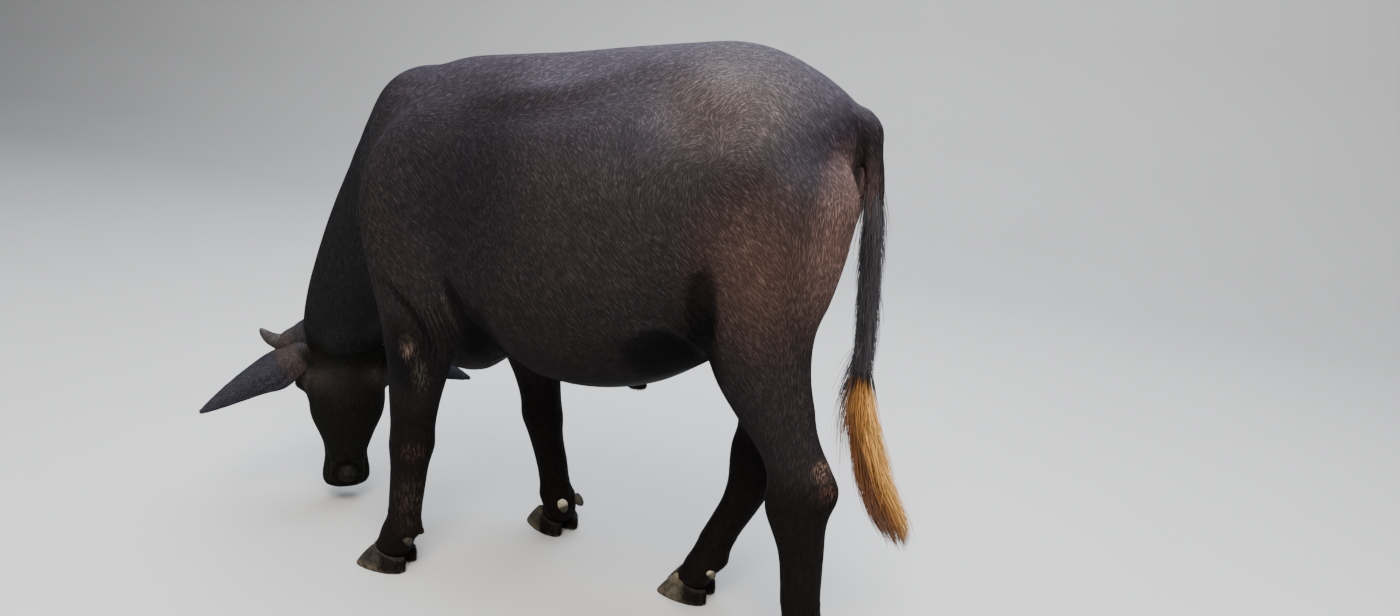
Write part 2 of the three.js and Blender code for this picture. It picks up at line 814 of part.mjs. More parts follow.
// One claw: a slipper-shaped hoof, flat below, open to its neighbour by the cleft.
function claw(side) {
  const middle = (CLAW_TOE + CLAW_HEEL) / 2;
  const half = (CLAW_HEEL - CLAW_TOE) / 2;
  const rings = [];
  for (let level = 0; level <= CLAW_LEVELS; level += 1) {
    const share = level / CLAW_LEVELS;
    rings.push(Array.from({ length: CLAW_SIDES }, (_, j) => {
      const angle = (2 * Math.PI * j) / CLAW_SIDES;
      const toeShare = (1 + Math.cos(angle)) / 2;
      const spread = Math.sin(angle) * (1 - TOE_NARROWING * toeShare ** 2);
      const out = 0.5 + 0.5 * (spread > 0 ? spread : spread * CLEFT_FLATNESS);
      const lean = THREE.MathUtils.lerp(HEEL_LEAN, TOE_LEAN, toeShare) * HOOF_TOP;
      const x = middle - Math.cos(angle) * half + lean * share;
      const y = side * (CLEFT / 2 + out * CLAW_WIDTH * (1 - WALL_LEAN * share));
      return new THREE.Vector3(x, y, (HOOF_TOP - HOOF_SLOPE * x - GAP) * share);
    }));
  }
  return loft(rings);
}

// A dewclaw in its foot's frame: a blunt cone behind the fetlock, pointing down and back.
function dewclaw(side, room) {
  const { height, behind, aside, length } = DEWCLAW;
  const [back, out, down] = DEWCLAW.way;
  const way = new THREE.Vector3(back, side * out, down).normalize();
  const root = new THREE.Vector3(FOOT_SETBACK + behind, side * aside, height);
  const across = new THREE.Vector3(0, 1, 0);
  const up = new THREE.Vector3().crossVectors(across, way).normalize();
  const rings = DEWCLAW_RADII.map(([share, radius]) => {
    const centre = root.clone().addScaledVector(way, share * length + grown(share, room));
    return Array.from({ length: DEWCLAW_SIDES }, (_, j) => {
      const angle = (2 * Math.PI * j) / DEWCLAW_SIDES;
      return centre.clone()
        .addScaledVector(across, Math.cos(angle) * (radius + room))
        .addScaledVector(up, Math.sin(angle) * (radius + room) * DEWCLAW_FLATNESS);
    });
  });
  return loft(rings);
}

// A hanging tube in the middle plane from a table of places and sizes.
function hangingTube(rows, sides, stations, room) {
  const at = track(rows);
  const rings = places(rows, stations).map((share) => {
    const [x, z, depth, width] = at(share);
    const before = at(Math.max(0, share - SLOPE_STEP));
    const after = at(Math.min(1, share + SLOPE_STEP));
    const along = new THREE.Vector3(after[0] - before[0], 0, after[1] - before[1]).normalize();
    const across = new THREE.Vector3(-along.z, 0, along.x);
    return Array.from({ length: sides }, (_, j) => {
      const angle = (2 * Math.PI * j) / sides;
      return new THREE.Vector3(x, 0, z)
        .addScaledVector(across, Math.cos(angle) * (depth + room))
        .add(new THREE.Vector3(0, Math.sin(angle) * (width + room), 0));
    });
  });
  return solid(loft(rings));
}

// Repeatable random numbers from 0 to 1, by a linear congruence.
function randomNumbers(seed) {
  let state = seed;
  return () => {
    state = (state * RANDOM_FACTOR + RANDOM_STEP) % RANDOM_RANGE;
    return state / RANDOM_RANGE;
  };
}

// Flat tapered locks that root inside a hanging tube and lie down its length, one over the other.
function locks(rows, form, random) {
  const at = track(rows);
  const between = ([low, high]) => THREE.MathUtils.lerp(low, high, random());
  const last = rows.at(-1);
  const beforeLast = at(1 - SLOPE_STEP);
  const middle = (share) => {
    const [x, z] = at(Math.min(1, share));
    const past = Math.max(0, share - 1) / SLOPE_STEP;
    return [x + past * (last[1] - beforeLast[0]), z + past * (last[2] - beforeLast[1])];
  };
  return Array.from({ length: form.count }, (_, i) => {
    const start = THREE.MathUtils.lerp(...form.roots, (i + random()) / form.count);
    const length = between(form.lengths);
    const end = between(form.ends);
    const angle = form.side + form.spread * (2 * ((i * GOLDEN_SHARE) % 1) - 1 + random() / form.count);
    const turn = (random() - 0.5) * LOCK_TURN;
    const phase = random() * 2 * Math.PI;
    const place = (t) => {
      const share = start + length * t;
      const [x, z] = middle(share);
      const [, , depth, width] = at(Math.min(share, LOCK_SPREAD_END));
      const out = THREE.MathUtils.lerp(form.rooted, end, Math.sin(t * Math.PI * 0.5));
      const swing = angle + turn * t + LOCK_WAVE * Math.sin(phase + LOCK_WAVE_PACE * t);
      return new THREE.Vector3(x + Math.cos(swing) * depth * out, Math.sin(swing) * width * out, z);
    };
    const rings = LOCK_PROFILE.map(([t, size]) => {
      const centre = place(t);
      const along = place(t + SLOPE_STEP).sub(place(t - SLOPE_STEP)).normalize();
      const outwards = new THREE.Vector3(Math.cos(angle), Math.sin(angle), 0);
      const across = new THREE.Vector3().crossVectors(along, outwards).normalize();
      const up = new THREE.Vector3().crossVectors(across, along);
      return [[1, 0], [0, 1], [-1, 0], [0, -1]].map(([a, b]) =>
        centre.clone()
          .addScaledVector(across, a * size * form.width)
          .addScaledVector(up, b * size * form.thick));
    });
    return solid(loft(rings));
  });
}

// Everything on the far side of a plane, as a large block.
function beyond(at, way, sink) {
  const block = new THREE.BoxGeometry(BLOCK_SIZE, BLOCK_SIZE, BLOCK_SIZE);
  block.translate(0, 0, BLOCK_SIZE / 2 + sink);
  const normal = new THREE.Vector3(...way).normalize();
  const turn = new THREE.Quaternion().setFromUnitVectors(new THREE.Vector3(0, 0, 1), normal);
  block.applyQuaternion(turn).translate(...at);
  return solid(block);
}

const model = new THREE.Group();

// Adds a named mesh, with its own material, placed at its origin.
function add(parent, name, geometry, finish, origin = new THREE.Vector3()) {
  const material = new THREE.MeshStandardMaterial({ metalness: 0, ...FINISH[finish] });
  const mesh = new THREE.Mesh(geometry, material);
  mesh.name = name;
  mesh.position.copy(origin);
  parent.add(mesh);
  return mesh;
}

// Head with its chin, sockets, lids, nostrils, ears, horns and eyes
const headAxes = [headDown, headLeft, headFront];
let headFlesh = join(skull(), jaw(), ball(onHead(...CHIN), CHIN_SIZE, headAxes, CHIN_SIDES));
for (const side of [1, -1]) {
  const boss = ball(onHead(BOSS[0], side * BOSS[1], BOSS[2]), BOSS_SIZE, headAxes, BOSS_SIDES);
  const socket = ball(onHead(ORBIT[0], side * ORBIT[1], ORBIT[2]), ORBIT_SIZE, headAxes, EYE_SIDES);
  headFlesh = join(headFlesh, boss, socket);
  const opening = onHead(EYE[0], side * (EYE[1] + EYE_RADIUS), EYE[2]);
  headFlesh = headFlesh.subtract(ball(opening, LID_OPENING, headAxes, EYE_SIDES));
  headFlesh = join(headFlesh, lid(side, 1), lid(side, -1));
  headFlesh = headFlesh.subtract(eyeball(side, GAP));
  const nostril = onHead(NOSTRIL[0], side * NOSTRIL[1], NOSTRIL[2]);
  headFlesh = headFlesh.subtract(ball(nostril, NOSTRIL_SIZE, headAxes, NOSTRIL_SIDES));
}

// Navel, vulva and the small udder of a heifer with its four teats
function bodyBumps() {
  const axes = [new THREE.Vector3(1, 0, 0), new THREE.Vector3(0, 1, 0), new THREE.Vector3(0, 0, 1)];
  const bump = ({ at, size }) => ball(new THREE.Vector3(...at), size, axes, BUMP_SIDES);
  const teats = [];
  for (const fore of [-1, 1]) {
    for (const side of [-1, 1]) {
      const [x, y, z] = UDDER.at;
      const place = new THREE.Vector3(x + fore * TEAT.along, y + side * TEAT.aside, z - TEAT.drop);
      teats.push(ball(place, TEAT.size, axes, TEAT_SIDES));
    }
  }
  return join(bump(NAVEL), bump(VULVA), bump(UDDER), ...teats);
}

// All the flesh in one
const legs = {
  foreleg_left: { form: FORELEG_FORM, path: FORELEG_LEFT },
  foreleg_right: { form: FORELEG_FORM, path: FORELEG_RIGHT },
  hindleg_left: { form: HINDLEG_FORM, path: HINDLEG_LEFT },
  hindleg_right: { form: HINDLEG_FORM, path: HINDLEG_RIGHT },
};
let flesh = join(trunk(), neck(), headFlesh, bodyBumps());
for (const [name, { form, path }] of Object.entries(legs)) {
  const [x, y] = track(path)(PASTERN_HEIGHT);
  const turn = THREE.MathUtils.degToRad(FOOT_TURN[name]);
  const foot = new THREE.Group();
  foot.rotation.z = -turn;
  foot.position.set(x - FOOT_SETBACK * Math.cos(turn), y + FOOT_SETBACK * Math.sin(turn), 0);
  legs[name].foot = foot;
  const limb = leg(form, path).subtract(underHoofTop(foot));
  flesh = join(flesh, limb);
}

// Tail: its root stays with the rump, and the rest fits against it with a small gap
const dock = hangingTube(DOCK, DOCK_SIDES, DOCK_STATIONS, 0);
const dockStub = dock.subtract(beyond(DOCK_ROOT, DOCK_ROOT_WAY, 0));
const dockRoom = hangingTube(DOCK, DOCK_SIDES, DOCK_STATIONS, GAP);
flesh = join(flesh, dockStub).subtract(dockRoom.intersect(beyond(DOCK_ROOT, DOCK_ROOT_WAY, 0)));
const tail = dock.intersect(beyond(DOCK_ROOT, DOCK_ROOT_WAY, GAP));
const random = randomNumbers(LOCK_SEED);
const below = beyond(SWITCH_TOP, [0, 0, -1], GAP);
const above = beyond(SWITCH_TOP, [0, 0, 1], 0);
const core = SWITCH.map(([share, x, z, depth, width]) => [
  share, x, z, depth * SWITCH_CORE, width * SWITCH_CORE,
]);
const switchCore = hangingTube(core, SWITCH_SIDES, SWITCH_STATIONS, 0);
const switchLocks = [SWITCH_LOCKS, WISP_LOCKS].flatMap((form) => locks(SWITCH, form, random));
const switchHair = join(tail, switchCore, ...switchLocks).intersect(below);
const dockHair = join(tail, ...locks(DOCK, DOCK_LOCKS, random)).intersect(above);
add(model, "tail_dock", skinOf(dockHair), "tail");
add(model, "tail_switch", skinOf(switchHair), "switch");

// Ears, horns and eyes sit in pockets of the head
for (const [word, side, way] of [["left", 1, EAR_LEFT_WAY], ["right", -1, EAR_RIGHT_WAY]]) {
  const room = ear(side, way, EAR_ROOM);
  flesh = flesh.subtract(room).subtract(horn(side, GAP));
  add(model, `ear_${word}`, skinOf(ear(side, way, 0)), "ear");
  add(model, `horn_${word}`, skinOf(horn(side, 0).subtract(room)), "horn");
  add(model, `eye_${word}`, skinOf(eyeball(side, 0)), "eye");
}

// Legs part from the trunk, then at the knee or hock, and each foot holds its claws
for (const [name, { path, foot }] of Object.entries(legs)) {
  const way = track(path);
  const { high, low } = LEG_CUTS[name];
  foot.updateMatrix();
  for (const side of [1, -1]) flesh = flesh.subtract(solid(dewclaw(side, GAP).applyMatrix4(foot.matrix)));
  const cut = part(flesh, { at: [...way(high), high], way: [0, 0, 1], reach: LEG_CUT_REACH });
  flesh = cut[0];
  const [upper, lower] = part(cut[1], { at: [...way(low), low], way: [0, 0, 1], reach: LEG_CUT_REACH });
  add(model, `${name}_upper`, skinOf(upper), "coat");
  add(model, `${name}_lower`, skinOf(lower), "coatDark");
  model.add(foot);
  const outside = Math.sign(foot.position.y);
  for (const [word, side] of [["outer", outside], ["inner", -outside]]) {
    add(foot, `${name}_claw_${word}`, claw(side), "hoof");
    add(foot, `${name}_dewclaw_${word}`, dewclaw(side, 0), "hoof");
  }
}

// The neck parts from the trunk and the head from the neck
const [torso, neckAndHead] = part(flesh, NECK_CUT);
const [neckPart, headPart] = part(neckAndHead, HEAD_CUT);
add(model, "torso", skinOf(torso), "coat");
add(model, "neck", skinOf(neckPart), "coatDark");
add(model, "head", skinOf(headPart), "coatDark");

// The model's origin lies under the middle of its box, on the floor
const box = new THREE.Box3().setFromObject(model);
const centre = box.getCenter(new THREE.Vector3());
model.position.set(-centre.x, -centre.y, -box.min.z);

export default model;
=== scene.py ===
import bmesh
import bpy
import numpy as np
from mathutils import Matrix, Vector


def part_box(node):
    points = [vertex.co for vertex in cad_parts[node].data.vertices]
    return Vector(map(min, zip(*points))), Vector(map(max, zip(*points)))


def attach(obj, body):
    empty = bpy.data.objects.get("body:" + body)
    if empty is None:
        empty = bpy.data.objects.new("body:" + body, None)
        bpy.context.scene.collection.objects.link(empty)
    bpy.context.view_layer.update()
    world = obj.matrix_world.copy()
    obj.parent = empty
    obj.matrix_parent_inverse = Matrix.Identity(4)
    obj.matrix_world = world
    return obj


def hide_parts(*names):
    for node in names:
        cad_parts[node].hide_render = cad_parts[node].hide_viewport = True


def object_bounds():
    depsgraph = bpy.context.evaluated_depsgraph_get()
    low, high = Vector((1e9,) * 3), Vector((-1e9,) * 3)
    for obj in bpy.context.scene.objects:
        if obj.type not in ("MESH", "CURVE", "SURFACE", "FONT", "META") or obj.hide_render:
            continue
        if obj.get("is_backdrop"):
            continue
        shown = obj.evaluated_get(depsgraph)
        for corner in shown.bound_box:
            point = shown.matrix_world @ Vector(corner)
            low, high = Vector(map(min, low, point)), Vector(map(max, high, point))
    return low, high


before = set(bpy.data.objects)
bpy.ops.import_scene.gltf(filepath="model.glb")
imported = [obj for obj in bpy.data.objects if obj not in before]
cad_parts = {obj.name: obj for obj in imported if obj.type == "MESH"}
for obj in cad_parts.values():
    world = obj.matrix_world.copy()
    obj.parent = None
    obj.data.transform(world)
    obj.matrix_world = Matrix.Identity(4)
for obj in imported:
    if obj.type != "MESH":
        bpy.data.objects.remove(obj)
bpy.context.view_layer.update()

# Barrel: the trunk from the brisket to the pin bones. It is a carcass of flesh under a hide that
# is one piece with the rest of the animal, so it is only a core here, that the skin is drawn over.
# Sizes are millimetres from a point on the floor under the withers, +X to the tail, -Y to the left.
BARREL = [
    [-220, 850, 650, 36, 750, 1, 1], [-202, 925, 575, 80, 760, 1, 1],
    [-165, 1000, 510, 118, 770, 1.05, 1], [-115, 1060, 468, 142, 780, 1.1, 1],
    [-45, 1095, 444, 162, 785, 1.1, 0.95], [37, 1110, 447, 182, 785, 1.1, 0.95],
    [110, 1119, 493, 206, 780, 1, 0.95], [200, 1131, 474, 232, 765, 0.95, 0.92],
    [300, 1149, 472, 252, 750, 0.92, 0.95], [380, 1162, 486, 258, 755, 0.92, 1],
    [450, 1173, 512, 248, 785, 0.92, 1], [524, 1183, 558, 224, 830, 0.92, 1],
    [600, 1174, 618, 200, 880, 0.95, 0.95], [665, 1150, 676, 178, 905, 1, 0.9],
    [718, 1121, 725, 150, 920, 1, 0.9], [752, 1092, 775, 115, 930, 1, 0.95],
    [770, 1054, 830, 72, 935, 1, 1],
]
SWELLS = [
    [538, 1098, 58, 46, 30], [440, 1075, 80, 62, -22], [90, 900, 60, 190, -14],
    [640, 985, 70, 70, 10], [735, 1040, 45, 40, 14], [250, 640, 150, 110, 8],
]


def drawn_through(rows, keys):
    """A smooth curve through rows of numbers, read at keys: cubic Hermite pieces whose slope at
    a row is the mean of the slopes on both sides, each weighted by the length of the other."""
    rows = np.array(rows, float)
    rows = rows if rows[0, 0] < rows[-1, 0] else rows[::-1]
    at, values = rows[:, 0], rows[:, 1:]
    step = np.diff(at)
    slope = np.diff(values, axis=0) / step[:, None]
    pull = np.vstack([slope[:1], slope])
    mixed = slope[:-1] * step[1:, None] + slope[1:] * step[:-1, None]
    pull[1:-1] = mixed / (step[:-1] + step[1:])[:, None]
    keys = np.asarray(keys, float)
    i = np.clip(np.searchsorted(at, keys, side="right") - 1, 0, len(step) - 1)
    t = np.clip((keys - at[i]) / step[i], 0, 1)[:, None]
    h = step[i][:, None]
    rise = 3 * t**2 - 2 * t**3
    starts = values[i] * (1 - rise) + pull[i] * h * (t**3 - 2 * t**2 + t)
    return starts + values[i + 1] * rise + pull[i + 1] * h * (t**3 - t**2)


def signed_power(base, power):
    """The power of the size of a number, with the number's own sign."""
    return np.sign(base) * np.abs(base) ** power


def around(sides):
    """Angles of the given number of places, evenly round a full turn."""
    return np.arange(sides) * 2 * np.pi / sides


def unit(vectors):
    """Vectors brought to the length of one."""
    return vectors / np.linalg.norm(vectors, axis=-1, keepdims=True)


def rows_of(*values):
    """Numbers or arrays of one shape, put together as the last axis of one array."""
    return np.stack(np.broadcast_arrays(*values), -1)


def closed(rings):
    """A closed shell over rings of points: two triangles between each two neighbours and a fan
    to the middle of each end ring, turned over if its signed volume comes out negative."""
    count, sides = rings.shape[:2]
    points = np.vstack([rings.reshape(-1, 3), rings[0].mean(0), rings[-1].mean(0)])
    i, j = np.meshgrid(np.arange(count - 1), np.arange(sides), indexing="ij")
    a = (i * sides + j).ravel()
    b = (i * sides + (j + 1) % sides).ravel()
    k = np.arange(sides)
    first, last = (k + 1) % sides, (count - 1) * sides
    faces = np.vstack([
        np.stack([a, b, a + sides], 1),
        np.stack([b, b + sides, a + sides], 1),
        np.stack([np.full(sides, len(points) - 2), first, k], 1),
        np.stack([np.full(sides, len(points) - 1), last + k, last + first], 1),
    ])
    corner = points[faces]
    volume = np.einsum("ij,ij->", corner[:, 0], np.cross(corner[:, 1], corner[:, 2]))
    return points, faces if volume > 0 else faces[:, ::-1]


def swell(x, z, swells=SWELLS):
    """How far the flank is pushed out at a place: a sum of soft round bumps."""
    total = np.zeros(np.broadcast(x, z).shape)
    for x0, z0, reach_x, reach_z, push in swells:
        total += push * np.exp(-((x - x0) / reach_x) ** 2 - ((z - z0) / reach_z) ** 2)
    return total


flesh = []
x = np.linspace(BARREL[0][0], BARREL[-1][0], 150)
top, bottom, width, waist, full_top, full_bottom = drawn_through(BARREL, x).T[:, :, None]
angle = around(110)[None, :]
upper = np.sin(angle) >= 0
side = signed_power(np.cos(angle), np.where(upper, full_top, full_bottom))
z = waist + np.sin(angle) * np.where(upper, top - waist, waist - bottom)
out = side * width + swell(x[:, None], z) * np.sign(side) * np.minimum(1, np.abs(side) * 1.6)
flesh.append(closed(rows_of(x[:, None], out, z)))

# Neck: from the withers down to the poll of a grazing animal. The crest is narrow and the throat
# round, and its rings turn with the head, which looks to the animal's right.
NECK = [
    [0, -60, 1076, 0, 560, 0, 90, 0], [0.16, -148, 1072, -100, 536, 0, 106, 0],
    [0.3, -220, 1028, -150, 532, 2, 106, 0], [0.42, -260, 950, -176, 540, 8, 106, 4],
    [0.55, -312, 845, -190, 548, 18, 104, 10], [0.66, -362, 755, -212, 532, 32, 100, 18],
    [0.77, -406, 668, -242, 496, 46, 96, 28], [0.88, -442, 584, -278, 452, 62, 93, 38],
    [0.97, -462, 508, -308, 408, 76, 90, 46], [1.06, -460, 446, -330, 374, 84, 82, 50],
    [1.12, -444, 402, -344, 352, 86, 62, 50],
]
share = np.linspace(0, NECK[-1][0], 70)
crest_x, crest_z, throat_x, throat_z, offset, width, degrees = drawn_through(NECK, share).T
turn = np.radians(degrees)
half = (crest_x - throat_x) / 2
centre = rows_of((crest_x + throat_x) / 2, offset, (crest_z + throat_z) / 2)
deep = rows_of(half * np.cos(turn), -half * np.sin(turn), (crest_z - throat_z) / 2)
wide = rows_of(np.sin(turn), np.cos(turn), 0) * width[:, None]
angle = around(72)
side = signed_power(np.cos(angle), np.where(np.sin(angle) > 0, 1.25, 1))
rings = centre[:, None] + wide[:, None] * side[None, :, None]
flesh.append(closed(rings + deep[:, None] * np.sin(angle)[None, :, None]))

# Head: skull with the upper lip, and under it the lower jaw, whose crease is the line of the
# mouth, with a round chin. Bosses for the horns, with a collar of skin along each horn's foot, and
# the rims of the eye sockets stand out.
POLL = np.array([-392.0, 90.0, 438.0])
HEAD_TURN, HEAD_TUCK = np.radians(50), np.radians(2)
head_left = np.array([-np.sin(HEAD_TURN), -np.cos(HEAD_TURN), 0])
brow = np.array([-np.cos(HEAD_TURN), np.sin(HEAD_TURN), 0])
head_down = np.array([0, 0, -np.cos(HEAD_TUCK)]) - brow * np.sin(HEAD_TUCK)
head_front = unit(brow + np.array([0, 0, -np.sin(HEAD_TUCK)]))
head_axes = np.stack([head_down, head_left, head_front])
SKULL = [
    [-8, 50, 20, 34], [0, 68, 34, 50], [30, 90, 60, 64], [75, 98, 74, 68], [110, 99, 76, 70],
    [150, 94, 72, 66], [197, 82, 64, 54], [246, 66, 56, 40], [295, 54, 51, 29], [320, 51, 49, 26],
    [344, 54, 48, 24], [368, 57, 43, 22], [388, 54, 35, 19], [402, 42, 24, 13], [409, 22, 10, 6],
]
JAW = [
    [66, 14, 62, 40], [94, 34, 78, 46], [122, 50, 87, 48], [152, 58, 88, 48], [197, 56, 84, 42],
    [246, 48, 66, 33], [295, 41, 50, 25], [325, 38, 42, 21], [352, 36, 42, 20], [374, 35, 38, 19],
    [388, 32, 26, 12],
]
BOSS, BOSS_SIZE = [16, 76, 8], [37, 44, 34]
COLLAR, COLLAR_SIZE, COLLAR_TILT = [33, 112, 20], [30, 54, 31], np.radians(30)
ORBIT, ORBIT_SIZE = [128, 86, 26], [40, 35, 32]
CHIN, CHIN_SIZE = [352, 0, -38], [22, 24, 22]
EYE, EYE_RADIUS = [126, 90, 26], 19


def on_head(down, left, front):
    """A place on the head: the poll, and distances down its length, to its left and forward."""
    return POLL + rows_of(down, left, front).astype(float) @ head_axes


def ball(centre, sizes, axes, sides=24):
    """An ellipsoid: rings of latitude about its first axis, with half sizes along three axes."""
    rise = np.linspace(-0.96, 0.96, sides) * np.pi / 2
    turn = around(sides * 2)[None, :]
    spots = rows_of(np.sin(rise)[:, None], np.cos(rise)[:, None] * np.cos(turn),
                    np.cos(rise)[:, None] * np.sin(turn))
    return closed(np.asarray(centre, float) + (spots * sizes) @ np.asarray(axes, float))


down = np.linspace(SKULL[0][0], SKULL[-1][0], 90)
width, front, back = drawn_through(SKULL, down).T[:, :, None]
angle = around(64)[None, :]
deep = np.sin(angle) * np.where(np.sin(angle) > 0, front, back)
flesh.append(closed(on_head(down[:, None], np.cos(angle) * width, deep)))
down = np.linspace(JAW[0][0], JAW[-1][0], 70)
behind, width, deep = drawn_through(JAW, down).T[:, :, None]
flesh.append(closed(on_head(down[:, None], np.cos(angle) * width, np.sin(angle) * deep - behind)))
flesh.append(ball(on_head(*CHIN), CHIN_SIZE, head_axes))
for side in (1, -1):
    flesh.append(ball(on_head(BOSS[0], side * BOSS[1], BOSS[2]), BOSS_SIZE, head_axes))
    c, s = np.cos(COLLAR_TILT), side * np.sin(COLLAR_TILT)
    tilted = np.array([[c, -s, 0], [s, c, 0], [0, 0, 1]]) @ head_axes
    flesh.append(ball(on_head(COLLAR[0], side * COLLAR[1], COLLAR[2]), COLLAR_SIZE, tilted))
    flesh.append(ball(on_head(ORBIT[0], side * ORBIT[1], ORBIT[2]), ORBIT_SIZE, head_axes))

# Legs: each one a tapering limb from inside the trunk down to its hoof, with the heel of the
# elbow or hock behind. Both forelegs share one form and both hind legs another.
FORELEG = [
    [1052, 40, 20, 0], [1030, 62, 34, 0], [1000, 84, 50, 0], [960, 104, 63, 0], [880, 122, 75, 0],
    [800, 124, 80, 0], [720, 116, 80, 0], [640, 102, 74, 0], [560, 86, 64, 4], [490, 71, 56, 4],
    [400, 56, 50, 0], [335, 49, 46, 0], [295, 49, 47, 3], [250, 43, 41, 0], [180, 40, 35, 0],
    [120, 39, 36, 0], [92, 44, 44, 4], [62, 40, 46, 0], [24, 44, 48, 0],
]
HINDLEG = [
    [1062, 50, 36, 0], [1040, 76, 56, 0], [1000, 99, 77, 0], [940, 115, 92, 0], [860, 119, 97, 0],
    [760, 115, 92, 0], [680, 106, 82, 0], [605, 102, 72, 0], [555, 92, 66, 0], [510, 78, 60, 0],
    [465, 67, 54, 2], [432, 64, 51, 7], [403, 63, 50, 14], [380, 64, 49, 13], [358, 65, 48, 6],
    [335, 63, 46, 1], [295, 54, 43, 0], [250, 46, 40, 0], [200, 42.5, 38, 0], [150, 41, 37, 0],
    [118, 42, 39, 0], [92, 45, 45, 4], [62, 41, 47, 0], [24, 45, 49, 0],
]
LEGS = {
    "foreleg_left": (FORELEG, -6, [
        [1052, 4, -66], [960, -38, -90], [880, -70, -102], [800, -82, -108], [720, -78, -112],
        [640, -66, -117], [560, -58, -121], [490, -57, -123], [400, -64, -124], [295, -70, -125],
        [180, -80, -125], [120, -86, -125], [92, -92, -125], [62, -104, -125], [24, -116, -125]]),
    "foreleg_right": (FORELEG, 22, [
        [1052, 8, 66], [960, -30, 90], [880, -56, 102], [800, -60, 108], [720, -44, 112],
        [640, -12, 117], [560, 26, 122], [490, 48, 130], [400, 82, 141], [335, 92, 150],
        [295, 94, 155], [250, 102, 161], [180, 117, 170], [120, 127, 177], [92, 132, 180],
        [62, 138, 184], [24, 128, 188]]),
    "hindleg_left": (HINDLEG, -7, [
        [1062, 656, -66], [1000, 668, -92], [940, 682, -106], [860, 675, -110], [760, 660, -110],
        [680, 648, -111], [605, 655, -112], [510, 699, -112], [432, 745, -112], [405, 755, -112],
        [370, 758, -112], [340, 758, -112], [250, 777, -112], [150, 788, -112], [92, 797, -112],
        [62, 789, -112], [24, 777, -112]]),
    "hindleg_right": (HINDLEG, 5, [
        [1062, 654, 66], [1000, 662, 92], [940, 664, 106], [860, 648, 109], [760, 624, 107],
        [680, 608, 102], [605, 599, 96], [510, 614, 88], [458, 631, 83], [420, 640, 80],
        [377, 635, 77], [330, 631, 74], [283, 622, 70], [250, 611, 68], [150, 567, 60],
        [92, 547, 57], [62, 531, 56], [24, 513, 55]]),
}
HOOF_TOP, HOOF_SLOPE, FOOT_SETBACK, PASTERN = 49, 0.3, 22, 62


def foot_place(name):
    """Where a foot's middle stands on the floor, and which way it points: the pastern of its
    leg's path, set a little forward along the foot's own turn."""
    turn = np.radians(LEGS[name][1])
    x, y = drawn_through(LEGS[name][2], [PASTERN])[0]
    return np.array([x - FOOT_SETBACK * np.cos(turn), y + FOOT_SETBACK * np.sin(turn)]), turn


def hoof_line(name, x, y):
    """Height of the sloping top of a hoof at a place: it falls towards the heel."""
    (foot_x, foot_y), turn = foot_place(name)
    return HOOF_TOP - HOOF_SLOPE * ((x - foot_x) * np.cos(turn) - (y - foot_y) * np.sin(turn))


for name, (form, _, path) in LEGS.items():
    z = form[0][0] + (form[-1][0] - form[0][0]) * np.linspace(0, 1, 170)
    length, width, heel = drawn_through(form, z).T[:, :, None]
    x, y = drawn_through(path, z).T[:, :, None]
    angle = around(56)[None, :]
    rear = np.maximum(0, np.cos(angle)) ** 4 * heel
    rings = rows_of(x + np.cos(angle) * length + rear, y + np.sin(angle) * width, z[:, None])
    rings[..., 2] = np.maximum(rings[..., 2], hoof_line(name, rings[..., 0], rings[..., 1]))
    flesh.append(closed(rings))

# Tail: a bony dock that hangs from the rump, bare of long hair at its root. Under it the vulva,
# and under the belly the navel and the small udder of a heifer with its four teats.
DOCK = [
    [0, 716, 1070, 30, 34], [0.07, 752, 1066, 29, 34], [0.14, 783, 1046, 27, 30],
    [0.22, 797, 1000, 23, 26], [0.34, 806, 930, 20, 22], [0.5, 814, 830, 18, 19],
    [0.7, 821, 730, 17, 18], [0.85, 826, 660, 16, 17], [1, 828, 600, 13, 14],
]
BUMPS = [([374, 0, 482], [30, 11, 17]), ([764, 0, 910], [17, 17, 42]), ([585, 0, 632], [62, 52, 34])]
BUMPS += [([585 + 24 * fore, 26 * side, 596], [8, 8, 19]) for fore in (-1, 1) for side in (-1, 1)]


def hanging(rows, count):
    """The middle line of a tube that hangs in the plane of symmetry: its places, the two
    directions across it and its half depth and half width, all read at even shares."""
    share = np.linspace(0, 1, count)
    x, z, depth, width = drawn_through(rows, share).T
    along = unit(np.gradient(np.stack([x, z], -1), axis=0))
    across = rows_of(-along[:, 1], 0, along[:, 0])
    return rows_of(x, 0, z), across, np.array([0.0, 1, 0]), depth, width


centre, across, aside, depth, width = hanging(DOCK, 90)
angle = around(36)[None, :, None]
flesh.append(closed(
    centre[:, None] + across[:, None] * np.cos(angle) * depth[:, None, None]
    + aside * np.sin(angle) * width[:, None, None]))
flesh += [ball(place, sizes, np.eye(3)) for place, sizes in BUMPS]

# Ears: large drooping leaves of thin hide, rolled at the root, with their hollow side to the front
# and down. They are as thin as real ones, so they join the skin after it is drawn over the rest.
EAR_ROOT, EAR_LENGTH, EAR_SUNK = [48, 82, -16], 286, 12
EAR = [
    [0, 28, 10, 32, 0], [0.08, 35, 20, 26, 1], [0.2, 43, 27, 11, 5], [0.33, 48, 26, 6, 7],
    [0.5, 39, 19, 5, 2], [0.68, 29, 12, 5, 0], [0.83, 19, 7, 4, 0], [0.94, 10, 3, 4, 0],
    [1, 4, 1, 3, 0],
]
EAR_WAYS = {"left": (1, [0.87, 0.02, 0.535]), "right": (-1, [0.82, 0.35, 0.45])}
